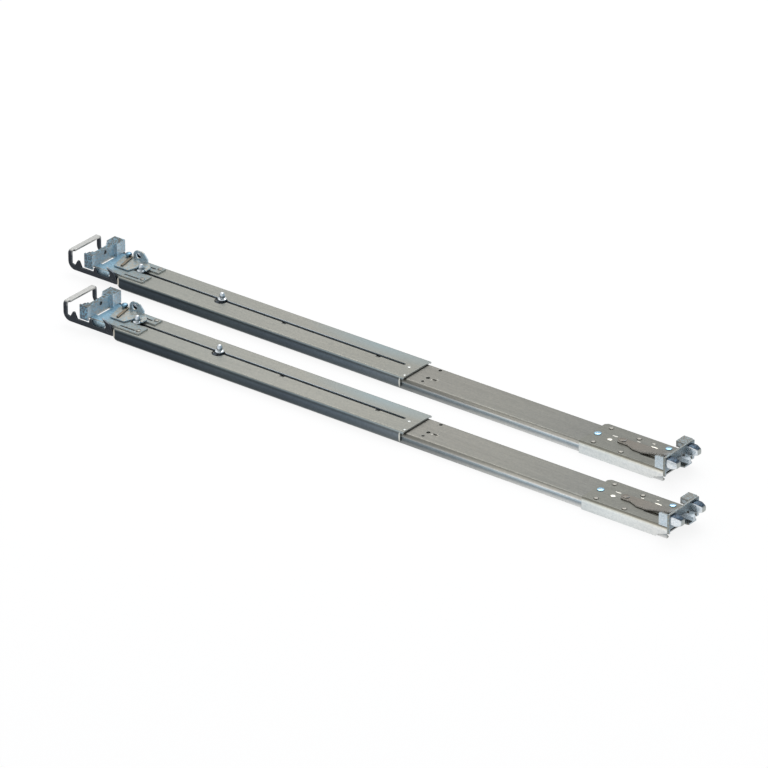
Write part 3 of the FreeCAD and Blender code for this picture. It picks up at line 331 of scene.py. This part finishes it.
SLEEVE_REAR = 39.2
SLEEVE_FRONT = 375.2
SLEEVE_TOP = 12.7
STUD_PLACES = (49.3, 146.5)
STUD_Y = 1.4
KEYHOLE_Y = -0.6
for side in SIDES:
    # Spots of painted light on the slot's far wall, painted shade in the keyhole walls round the studs, a
    # bluish tint at the far front end, and painted highlights on the near wall's rounded corners at both
    # ends.
    slot_wall_light = ((204.0, 3.1, 12.0), (175.0, 0.45, 1.2), (178, 192, 204), 0.1)
    keyhole_wall_shade = [((x, KEYHOLE_Y, 11.3), (6.8, 6.8, 1.3), (84, 90, 96), 0.2) for x in STUD_PLACES]
    bluish_end = ((320, 18, SLEEVE_TOP), (90, 17, 2.0), (132, 143, 144), 0.9)
    rear_corner_highlight = ((39.6, -21.5, 8.0), (1.5, 1.5, 6.5), (196, 192, 180), 0.5)
    front_corner_highlight = ((371.4, -21.5, 7.0), (1.3, 1.5, 6.0), (226, 226, 218), 0.5)
    sleeve_paint = plated_steel(
        "sleeve_plate", side,
        top={"X": [(SLEEVE_REAR, (147, 148, 141)), (240, (146, 145, 137)), (330, (140, 139, 131)),
                   (SLEEVE_FRONT, (136, 136, 129))]},
        # Painted shade on the walls, lighter to the front, in bands up their height with a painted
        # highlight on the top bend.
        wall={"X": [(SLEEVE_REAR, (124, 136, 142)), (105, (130, 142, 148)), (170, (160, 172, 174)),
                    (240, (168, 180, 187)), (310, (198, 212, 218)), (SLEEVE_FRONT, (242, 250, 250))],
              "Z": [(2.0, (136, 136, 136)), (3.2, (112, 114, 116)), (6.0, (118, 122, 128)),
                    (8.5, (128, 133, 140)), (10.6, (104, 106, 108)), (11.5, (150, 154, 155)),
                    (12.1, (215, 220, 220)), (SLEEVE_TOP, (235, 235, 226))]},
        end={"plain": (186, 190, 188)},
        spots=[slot_wall_light, *keyhole_wall_shade, bluish_end, rear_corner_highlight, front_corner_highlight])
    coat(f"{side}_sleeve", sleeve_paint)

# Ball slides: outer, middle and inner members of rolled strip. The outer member shows between the sleeve
# and the front plate; its walls are painted lighter towards the front as painted light, its rounded
# shoulder is painted warm and dark as painted shade, and its bead carries a painted highlight line.
FLANGE_FACE = 668.0
OUTER_TOP = 10.5
for side in SIDES:
    # Painted shade round the keyholes under the studs, and painted highlights at the two ends of the lance.
    keyhole_shade = [((x, KEYHOLE_Y, OUTER_TOP), (6.9, 6.9, 0.6), (62, 68, 74), 0.15) for x in STUD_PLACES]
    lance_end_highlights = [((395.6, -4.0, 11.0), (1.1, 3.2, 1.3), (180, 178, 170), 0.5),
                  ((401.0, -3.6, 11.0), (1.0, 2.8, 1.3), (180, 178, 170), 0.5)]
    outer_paint = plated_steel(
        "outer_plate", side,
        top={"X": [(SLEEVE_FRONT, (133, 131, 124)), (480, (127, 126, 119)), (580, (116, 116, 111)),
                   (FLANGE_FACE, (114, 114, 109))]},
        # Painted light on the walls, lighter towards the front, with painted shade on the shoulder and a
        # painted highlight line on the bead.
        wall={"X": [(SLEEVE_FRONT, (166, 168, 168)), (430, (196, 197, 197)), (480, (230, 230, 228)),
                    (530, (250, 250, 250)), (FLANGE_FACE, (255, 255, 255))],
              "Z": [(0.4, (230, 230, 228)), (2.0, (208, 209, 207)), (3.2, (181, 186, 187)),
                    (4.2, (155, 164, 170)), (5.2, (186, 202, 210)), (6.2, (230, 243, 250)),
                    (7.0, (240, 242, 242)), (8.0, (217, 213, 203)), (9.2, (202, 198, 186)),
                    (OUTER_TOP, (180, 176, 165))]},
        end={"plain": (170, 172, 168)}, streaks=0.25, spots=[*keyhole_shade, *lance_end_highlights])
    coat(f"{side}_outer_member", outer_paint)
    inside_paint = plated_steel("inside_plate", side, top={"plain": (158, 160, 156)},
                                wall={"plain": (128, 134, 138)}, end={"plain": (176, 178, 176)})
    for node in ("middle_member", "inner_member", "outer_ball_cage", "inner_ball_cage", "release_lever"):
        coat(f"{side}_{node}", inside_paint)

# Front plate: heavier plate riveted over the outer member, duller than the strip; its folded side
# flange catches the light, and runs out in a thin pale heel under the front flange.
FRONT_PLATE_REAR = 573.2
PLATE_TOP = 12.7
for side in SIDES:
    plate_paint = plated_steel(
        "front_plate", side,
        top={"X": [(573.0, (114, 114, 107)), (620, (113, 113, 107)), (FLANGE_FACE, (108, 108, 102))]},
        wall={"X": [(573.0, (236, 241, 240)), (610, (246, 250, 248)), (FLANGE_FACE, (255, 255, 252))],
              "Z": [(0.1, (240, 240, 240)), (7.6, (240, 241, 242)), (8.8, (252, 252, 250)),
                    (10.4, (236, 232, 222)), (11.2, (170, 164, 152)), (PLATE_TOP, (136, 132, 122))]},
        end={"plain": (160, 162, 158)}, streaks=0.2, rim=0.15)
    coat(f"{side}_front_bracket", plate_paint)

# Front flange: zinc-plated bearing face across the end of the front plate, with its near return and the
# folded box at its far end. The sheet is grey like the plate from above; the return is painted pale blue
# as painted light, and the bearing face is painted slate as painted shade.
for side in SIDES:
    front_flange_paint = plated_steel(
        "front_flange_plate", side,
        top={"plain": (116, 113, 105)},
        wall={"Y": [(-21.6, (214, 224, 230)), (-18.0, (150, 158, 164)), (10.6, (196, 194, 186)),
                    (12.0, (190, 205, 214)), (23.0, (204, 214, 220))],
              "X": [(656.0, (255, 255, 255)), (665.4, (255, 255, 255)), (665.9, (176, 166, 150)),
                    (FLANGE_FACE, (176, 166, 150))]},
        end={"Z": [(6.4, (190, 198, 204)), (12.0, (138, 148, 154)), (18.0, (106, 113, 117)),
                   (25.7, (112, 118, 120))]},
        metallic=0.7, roughness=0.36, rim=0.2,
        speckle=0.28, speckle_color=(165, 205, 225), speckle_size=1.2,
        # A painted highlight on the near side of the far box.
        spots=[((660.5, 10.7, 22.8), (3.2, 1.2, 2.0), (236, 248, 255), 0.5)])
    coat(f"{side}_front_flange", front_flange_paint)

# Rear bracket and flange: blue-bright zinc plate over the end of the sleeve. The bracket is as grey as
# the sleeve where it lies on it, and its walls and ends are painted light to lift the shade along its
# edges. The flange is speckled blue and brown, the blue partly painted glints; its near side is painted
# dark as painted shade, its end face carries a painted highlight line, and painted shade darkens its spy
# hole.
for side in SIDES:
    bracket_paint = plated_steel(
        "rear_bracket_plate", side,
        top={"X": [(0.0, (176, 212, 230)), (18.0, (166, 200, 218)), (32.0, (144, 151, 148)),
                   (66.0, (146, 147, 140))]},
        # Walls and ends painted light against the shade along the bracket's edges.
        wall={"plain": (190, 192, 186)}, end={"plain": (190, 192, 186)},
        metallic=0.7, roughness=0.36, rim=0.1, speckle=0.25)
    coat(f"{side}_rear_bracket", bracket_paint)
    rear_flange_paint = plated_steel(
        "rear_flange_plate", side,
        top={"plain": (84, 82, 74)},
        wall={"Y": [(-22.5, (78, 86, 94)), (-20.0, (84, 94, 104)), (8.0, (190, 204, 212)),
                    (22.5, (130, 140, 148))]},
        end={"Y": [(-22.5, (200, 210, 214)), (-20.5, (214, 222, 225)), (-17.0, (176, 182, 184)),
                   (0.0, (186, 194, 197)), (9.0, (172, 200, 214)), (10.6, (225, 236, 242)),
                   (13.4, (190, 202, 208)), (22.5, (165, 176, 182))]},
        metallic=0.35, roughness=0.36, rim=0.2, speckle=0.5, speckle_color=(135, 196, 226),
        # Painted shade in the spy hole.
        spots=[((9.0, -3.2, 22.6), (1.6, 2.3, 2.3), (52, 44, 36), 0.2)])
    coat(f"{side}_rear_flange", rear_flange_paint)

# Skirts: a tab pressed down from each side of the rear bracket, seen blue between the fins of the hoop's
# strips. Each corner holds x, z and the radius it is rounded by, in mm.
SKIRT_OUTLINE = ((10.5, 13.0, 0.0), (13.5, 6.4, 2.0), (25.0, 6.4, 2.0), (27.5, 13.0, 0.0))
SKIRT_INNER = 17.2
SKIRT_OUTER = 18.4
CORNER_STEPS = 7
SMOOTH_UP_TO = math.radians(35.0)
WELD = 0.005


def bands_of(rows, columns):
    """Quads between neighbouring rows of a grid of points, each row closed on itself."""
    row, column = np.meshgrid(np.arange(rows - 1), np.arange(columns), indexing="ij")
    following = (column + 1) % columns
    near, far = row * columns, (row + 1) * columns
    return np.stack([near + column, near + following, far + following, far + column], -1).reshape(-1, 4)


def flat_tab(corners, inner, outer, way):
    """Tab of even thickness: its outline in x and z runs straight between the corners and round each in an
    arc of that radius, and is carried from the inner to the outer y; both faces shrink to their middle."""
    points = np.array(corners)[:, :2]
    outline = []
    for index, (x, z, radius) in enumerate(corners):
        here = np.array((x, z))
        if radius == 0.0:
            outline.append(here)
            continue
        back = points[index - 1] - here
        onward = points[(index + 1) % len(points)] - here
        back, onward = back / np.linalg.norm(back), onward / np.linalg.norm(onward)
        half = math.acos(float(np.dot(back, onward))) / 2
        centre = here + (back + onward) / np.linalg.norm(back + onward) * radius / math.sin(half)
        first = here + back * radius / math.tan(half) - centre
        last = here + onward * radius / math.tan(half) - centre
        share = np.linspace(0.0, 1.0, CORNER_STEPS)[:, None]
        arc = first * (1 - share) + last * share
        outline.extend(centre + arc / np.linalg.norm(arc, axis=1)[:, None] * radius)
    rim = np.array(outline)
    middle = rim.mean(axis=0)
    rings = []
    for y, size in ((inner, 0.0), (inner, 1.0), (outer, 1.0), (outer, 0.0)):
        flat = middle + (rim - middle) * size
        rings.append(np.stack([flat[:, 0], np.full(len(rim), y * way), flat[:, 1]], axis=1))
    return np.concatenate(rings), bands_of(len(rings), len(rim))


def make_piece(name, side, solids, paint, body, nodes=()):
    """One object of several solids, in the rail's own mm; poles and seams are merged, normals point out."""
    count = 0
    all_points, all_faces = [], []
    for points, faces in solids:
        all_points.append(points + ORIGIN[side])
        all_faces.append(faces + count)
        count += len(points)
    mesh = bpy.data.meshes.new(f"{side}_{name}")
    mesh.from_pydata((np.concatenate(all_points) * MM).tolist(), [], np.concatenate(all_faces).tolist())
    work = bmesh.new()
    work.from_mesh(mesh)
    bmesh.ops.remove_doubles(work, verts=work.verts, dist=WELD * MM)
    bmesh.ops.recalc_face_normals(work, faces=work.faces)
    work.to_mesh(mesh)
    work.free()
    mesh.shade_smooth()
    mesh.set_sharp_from_angle(angle=SMOOTH_UP_TO)
    mesh.materials.append(paint)
    thing = bpy.data.objects.new(f"{side}_{name}", mesh)
    scene.collection.objects.link(thing)
    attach(thing, body.format(side))
    if nodes:
        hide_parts(*[f"{side}_{node}" for node in nodes])


for side in SIDES:
    skirt_paint = plated_steel("skirt_plate", side, top={"plain": (150, 186, 204)},
                               wall={"plain": (196, 222, 234)}, end={"plain": (170, 200, 214)},
                               metallic=0.5, roughness=0.36, speckle=0.4)
    tabs = [flat_tab(SKIRT_OUTLINE, SKIRT_INNER, SKIRT_OUTER, way) for way in (1.0, -1.0)]
    make_piece("bracket_skirts", side, tabs, skirt_paint, "{}_sleeve_unit")

# Latch hoop: strips and a sprung hoop folded from one sheet, hung on two stubs. The rolled bar that a
# thumb presses carries a painted highlight, and the finned strips below it painted shade.
hoop_paints = {}
for side in SIDES:
    hoop_paints[side] = plated_steel(
        "hoop_plate", side,
        top={"Z": [(4.7, (60, 66, 72)), (18.0, (84, 90, 96)), (21.0, (186, 186, 183)),
                   (23.7, (192, 192, 188))]},
        wall={"Z": [(4.7, (54, 58, 63)), (19.0, (46, 50, 56)), (22.6, (70, 74, 80)),
                    (23.7, (190, 190, 188))]},
        end={"Z": [(4.7, (70, 76, 86)), (18.0, (60, 68, 78)), (21.0, (150, 152, 152)),
                   (23.7, (205, 204, 200))]},
        roughness=0.34, rim=0.25, mottle=0.05)
    coat(f"{side}_latch_hoop", hoop_paints[side])

# Sleeve lock: a flat pressed lever with an upturned eye, in plate with a blue sheen. The springs of the
# lock and the hoop, and the long front latch, are strips of oiled spring steel.
latch_paints = {}
for side in SIDES:
    # The lever's walls and ends are painted pale blue, lighter than its top, as painted light.
    lock_paint = plated_steel("lock_plate", side, top={"plain": (178, 174, 162)},
                              wall={"plain": (190, 208, 220)}, end={"plain": (190, 212, 224)},
                              metallic=0.7, roughness=0.34, speckle=0.4)
    coat(f"{side}_lock_lever", lock_paint)
    spring_paint = plated_steel("spring_strip", side, top={"plain": (134, 122, 104)},
                                wall={"plain": (84, 80, 74)}, end={"plain": (110, 102, 90)},
                                roughness=0.34, rim=0.25)
    for node in ("lock_spring", "hoop_spring"):
        coat(f"{side}_{node}", spring_paint)
    # The latch's walls are painted light against the shade under its arm, and its nose past the flange
    # carries a painted highlight on top.
    latch_paints[side] = plated_steel(
        "latch_strip", side,
        top={"X": [(600.0, (108, 101, 90)), (625, (112, 106, 96)), (650, (108, 106, 99)),
                   (664, (190, 200, 206)), (680, (205, 214, 220))]},
        wall={"X": [(600.0, (214, 208, 196)), (650, (206, 202, 194)), (664, (190, 200, 206)),
                    (680, (190, 204, 212))]},
        end={"plain": (200, 208, 212)}, metallic=0.35, roughness=0.36, rim=0.15, streaks=0.25)
    coat(f"{side}_front_latch", latch_paints[side])

# Stop bumper: a moulded block of black plastic, pressed in between the ends of the slide members, where
# it takes the knock of the server as the rail closes.
BUMPER_COLOR = (30, 30, 32)
BUMPER_ROUGHNESS = 0.55
BUMPER_GRAIN_SCALE = 2500.0
BUMPER_GRAIN_STRENGTH = 0.3
BUMPER_GRAIN_DEPTH = 0.05
for side in SIDES:
    bumper_paint = bpy.data.materials.new(f"{side}_bumper_plastic")
    bumper_paint.use_nodes = True
    bumper_nodes = bumper_paint.node_tree.nodes
    bumper_link = bumper_paint.node_tree.links.new
    bumper_shader = bumper_nodes["Principled BSDF"]
    bumper_shader.inputs["Base Color"].default_value = srgb(*BUMPER_COLOR)
    bumper_shader.inputs["Roughness"].default_value = BUMPER_ROUGHNESS
    grain = bumper_nodes.new("ShaderNodeTexNoise")
    grain.inputs["Scale"].default_value = BUMPER_GRAIN_SCALE
    grain_place = bumper_nodes.new("ShaderNodeTexCoord")
    grain_bump = bumper_nodes.new("ShaderNodeBump")
    grain_bump.inputs["Strength"].default_value = BUMPER_GRAIN_STRENGTH
    grain_bump.inputs["Distance"].default_value = BUMPER_GRAIN_DEPTH * MM
    bumper_link(grain_place.outputs["Object"], grain.inputs["Vector"])
    bumper_link(grain.outputs["Fac"], grain_bump.inputs["Height"])
    bumper_link(grain_bump.outputs["Normal"], bumper_shader.inputs["Normal"])
    coat(f"{side}_stop_bumper", bumper_paint)

# Guide studs: turned and polished shoulder studs, riveted to the outer member. A broad foot, a waist and
# a tapered post each mirror the room, so every stud shows bright and dark bands.
STUD_PROFILE = ((0.0, OUTER_TOP), (1.5, OUTER_TOP), (1.5, 13.0), (4.0, 13.0), (4.3, 13.3), (4.3, 14.0),
                (4.0, 14.4), (3.3, 14.5), (2.5, 15.0), (2.4, 15.7), (2.8, 16.1), (2.8, 16.9), (2.5, 18.2),
                (1.9, 19.6), (1.4, 20.2), (0.8, 20.4), (0.0, 20.4))


def turned(profile, centre, axis="Z", direction=1.0, sides=32):
    """Turned solid: the radius and height pairs of the profile, carried once round the axis."""
    radius, height = np.array(profile, float).T
    angle = np.linspace(0.0, 2.0 * math.pi, sides, endpoint=False)
    across = np.outer(radius, np.cos(angle))
    along = np.outer(radius, np.sin(angle))
    tall = np.repeat(height[:, None] * direction, sides, axis=1)
    order = {"Z": (across, along, tall), "Y": (across, tall, along)}[axis]
    points = np.stack(order, -1).reshape(-1, 3) + np.array(centre, float)
    return points, bands_of(len(radius), sides)


polished = {}
for side in SIDES:
    polished[side] = plated_steel("polished_zinc", side, top={"plain": (226, 230, 232)},
                                  wall={"plain": (214, 222, 228)}, end={"plain": (150, 168, 180)},
                                  roughness=0.16, rim=0.2, mottle=0.03, streaks=0.0)
    make_piece("turned_studs", side, [turned(STUD_PROFILE, (x, STUD_Y, 0.0)) for x in STUD_PLACES],
               polished[side], "outer_rails", ("guide_studs",))

# Pilot pins: square pegs with rounded corners that taper to a blunt nose, set in the bearing faces. Their
# tops are painted dark as a painted reflection of the room, and their sides painted pale as painted light.
PIN_Z = 19.0
PIN_Y = 15.875
PIN_HALF = 4.6
PIN_ALONG = (0.0, 0.45, 0.58, 0.80, 0.93, 0.98, 1.0, 1.0)
PIN_SIZE = (1.0, 1.0, 0.93, 0.74, 0.62, 0.52, 0.38, 0.0)
PIN_SQUARENESS = 5.0
PIN_SIDES = 40
FRONT_PIN_REACH = 11.0
REAR_PIN_REACH = 3.5


def rounded_square_pin(face_x, direction, y, reach):
    """Square peg: rings of a squared circle, |y|^n + |z|^n = r^n, whose size falls over the outer half."""
    share = np.array(PIN_ALONG)
    half = PIN_HALF * np.array(PIN_SIZE)
    angle = np.linspace(0.0, 2.0 * math.pi, PIN_SIDES, endpoint=False)
    power = 2.0 / PIN_SQUARENESS
    ring_y = np.sign(np.cos(angle)) * np.abs(np.cos(angle)) ** power
    ring_z = np.sign(np.sin(angle)) * np.abs(np.sin(angle)) ** power
    x = np.repeat((face_x + direction * reach * share)[:, None], PIN_SIDES, axis=1)
    points = np.stack([x, y + np.outer(half, ring_y), PIN_Z + np.outer(half, ring_z)], -1).reshape(-1, 3)
    return points, bands_of(len(share), PIN_SIDES)


for side in SIDES:
    # Tops painted dark as a painted reflection, sides painted pale as painted light.
    pin_paint = plated_steel("pin_zinc", side, top={"plain": (48, 56, 66)}, wall={"plain": (246, 250, 252)},
                             end={"plain": (176, 178, 172)}, metallic=0.9, roughness=0.3, rim=0.1,
                             streaks=0.0, speckle=0.25, speckle_color=(120, 160, 190), speckle_size=1.0)
    front_pegs = [rounded_square_pin(FLANGE_FACE, 1, y, FRONT_PIN_REACH) for y in (-PIN_Y, PIN_Y)]
    make_piece("front_pegs", side, front_pegs, pin_paint, "outer_rails", ("front_pins",))
    rear_pegs = [rounded_square_pin(0.0, -1, y, REAR_PIN_REACH) for y in (-PIN_Y, PIN_Y)]
    make_piece("rear_pegs", side, rear_pegs, pin_paint, "{}_sleeve_unit", ("rear_pins",))

# Rivets: small button heads set by a press. Two large ones on the front plate are blue with painted
# highlights, and the small ones as dull as the plate, their sides painted darker as painted shade. Each
# is an x from the plate's rear edge, a y and a radius, in mm.
BIG_HEADS = ((5.7, -0.6, 3.5), (73.3, 14.1, 3.2))
SMALL_HEADS = ((9.6, 14.9, 2.5), (12.0, -16.0, 2.5), (41.5, 13.4, 2.5), (42.9, -16.6, 2.5))
REAR_HEADS = ((62.1, 13.6, 2.4), (62.1, -12.8, 2.4))
BRACKET_TOP = 14.2
HEAD_RISE = 0.9
HEAD_RIM = HEAD_RISE * 0.35
HEAD_FOOT = 0.96
DOME_STEPS = 7
DOME_SIDES = 24


def button_head(x, y, radius, floor):
    """Button head: a low dome on a short upright rim, by the circle's formula from rim to crown."""
    arc = np.linspace(0.0, math.pi / 2, DOME_STEPS)
    profile = [(0.0, 0.0), (radius * HEAD_FOOT, 0.0), (radius, HEAD_RIM * 0.4)]
    profile += [(radius * math.cos(a), HEAD_RIM + (HEAD_RISE - HEAD_RIM) * math.sin(a)) for a in arc]
    return turned(profile, (x, y, floor), sides=DOME_SIDES)


for side in SIDES:
    # The big heads carry painted highlights, the small heads painted shade on their sides.
    bright_head = plated_steel("bright_rivet", side, top={"plain": (160, 194, 214)},
                               wall={"plain": (150, 180, 198)}, end={"plain": (90, 140, 172)},
                               roughness=0.22, rim=0.2, streaks=0.0,
                               speckle=0.25, speckle_color=(150, 200, 225))
    dull_head = plated_steel("dull_rivet", side, top={"plain": (136, 134, 127)},
                             wall={"plain": (104, 98, 90)}, end={"plain": (150, 150, 145)},
                             roughness=0.36, rim=0.1, streaks=0.0)
    big = [button_head(FRONT_PLATE_REAR + x, y, radius, PLATE_TOP) for x, y, radius in BIG_HEADS]
    make_piece("bright_rivets", side, big, bright_head, "outer_rails", ("front_rivets",))
    small = [button_head(FRONT_PLATE_REAR + x, y, radius, PLATE_TOP) for x, y, radius in SMALL_HEADS]
    make_piece("dull_rivets", side, small, dull_head, "outer_rails")
    rear = [button_head(x, y, radius, BRACKET_TOP) for x, y, radius in REAR_HEADS]
    make_piece("bracket_rivets", side, rear, dull_head, "{}_sleeve_unit", ("rear_rivets",))

# Pivots: turned pins whose heads hold the front latch, the sleeve lock and the hoop. The latch's head is
# flat, the lock's is a blued knob and the hoop hangs on a short stub at each side.
LATCH_PIVOT = (606.4, -0.4, 0.0)
LATCH_HEAD = ((0.0, PLATE_TOP), (2.1, PLATE_TOP), (2.1, 14.9), (3.1, 14.9), (3.2, 15.1), (3.0, 15.4),
              (2.0, 15.65), (0.0, 15.7))
LOCK_PIVOT = (23.7, 14.2, 0.0)
LOCK_KNOB = ((0.0, BRACKET_TOP), (2.05, BRACKET_TOP), (2.05, 17.3), (3.0, 17.3), (3.2, 17.6), (3.2, 18.4),
             (2.9, 19.0), (2.2, 19.5), (1.2, 19.85), (0.0, 19.9))
HOOP_PIVOT = (33.7, 0.0, 8.2)
HOOP_STUB = ((0.0, 18.5), (2.0, 18.5), (2.0, 21.7), (1.8, 21.95), (1.2, 22.1), (0.0, 22.1))
for side in SIDES:
    make_piece("latch_rivet", side, [turned(LATCH_HEAD, LATCH_PIVOT)], latch_paints[side],
               "outer_rails", ("front_latch_rivet",))
    knob_paint = plated_steel("blued_zinc", side, top={"plain": (126, 158, 178)},
                              wall={"plain": (130, 164, 184)}, end={"plain": (70, 84, 98)},
                              roughness=0.28, rim=0.1, speckle=0.3)
    make_piece("lock_knob", side, [turned(LOCK_KNOB, LOCK_PIVOT)], knob_paint,
               "{}_sleeve_unit", ("lock_pin",))
    stubs = [turned(HOOP_STUB, HOOP_PIVOT, "Y", way) for way in (1.0, -1.0)]
    make_piece("hoop_stubs", side, stubs, hoop_paints[side],
               "{}_sleeve_unit", ("hoop_pivots",))

# Bearing balls: polished steel balls, five to a side of each cage, that roll in the races between the
# slide members.
BALLS_TO_A_SIDE = 5
BALL_STEPS = 13
BALL_SIDES = 20
for side in SIDES:
    for node, body in (("outer_balls", "{}_outer_cage"), ("inner_balls", "{}_inner_cage")):
        low, high = [np.array(corner) / MM - ORIGIN[side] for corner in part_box(f"{side}_{node}")]
        radius = (high[2] - low[2]) / 2
        arc = np.linspace(-math.pi / 2, math.pi / 2, BALL_STEPS)
        ball = [(radius * math.cos(a), radius * math.sin(a)) for a in arc]
        places = [(x, y, (low[2] + high[2]) / 2)
                  for x in np.linspace(low[0] + radius, high[0] - radius, BALLS_TO_A_SIDE)
                  for y in (low[1] + radius, high[1] - radius)]
        balls = [turned(ball, place, sides=BALL_SIDES) for place in places]
        make_piece(f"{node}_polished", side, balls, polished[side], body, (node,))

# Pressed marks: shallow pips that the press left in the front plate and at the front end of the sleeve,
# painted lighter than the sheet round them as painted highlights, the bright ones most.
# Each is an x, a y, half a length and half a width, in mm.
BRIGHT_PIPS = ((594.3, -3.4, 2.7, 2.3), (635.0, 8.2, 4.2, 1.1), (642.7, -1.8, 1.5, 1.3))
DULL_PIPS = ((594.6, 4.4, 3.6, 1.5), (617.6, 8.6, 2.4, 1.2), (630.7, 13.5, 2.0, 1.2))
SLEEVE_PIPS = ((366.5, -0.9, 1.9, 1.6), (373.0, -16.0, 1.4, 1.6))
PIP_RISE = 0.35
PIP_ROOT = -0.05


def pip(x, y, half_length, half_width, floor):
    """Shallow oval pip: a turned dome of radius one by the circle's formula, stretched along x and y."""
    arc = np.linspace(0.0, math.pi / 2, DOME_STEPS)
    profile = [(0.0, PIP_ROOT)] + [(math.cos(a), PIP_RISE * math.sin(a)) for a in arc]
    points, faces = turned(profile, (0.0, 0.0, 0.0), sides=DOME_SIDES)
    return points * (half_length, half_width, 1.0) + np.array([x, y, floor]), faces


for side in SIDES:
    # Each pip is painted lighter than the sheet round it, as a painted highlight on its rise.
    bright_mark = plated_steel("pressed_mark", side, top={"plain": (222, 219, 206)},
                               wall={"plain": (200, 198, 186)}, end={"plain": (200, 198, 186)},
                               roughness=0.3, rim=0.0, streaks=0.0)
    make_piece("bright_pips", side, [pip(*values, PLATE_TOP) for values in BRIGHT_PIPS], bright_mark,
               "outer_rails")
    dull_mark = plated_steel("dull_mark", side, top={"plain": (170, 168, 160)},
                             wall={"plain": (150, 146, 138)}, end={"plain": (120, 112, 102)},
                             roughness=0.34, rim=0.0, streaks=0.0)
    make_piece("dull_pips", side, [pip(*values, PLATE_TOP) for values in DULL_PIPS], dull_mark,
               "outer_rails")
    sleeve_mark = plated_steel("sleeve_mark", side, top={"plain": (198, 200, 196)},
                               wall={"plain": (176, 178, 174)}, end={"plain": (176, 178, 174)},
                               roughness=0.34, rim=0.0, streaks=0.0)
    make_piece("sleeve_pips", side, [pip(*values, SLEEVE_TOP) for values in SLEEVE_PIPS], sleeve_mark,
               "{}_sleeve_unit")
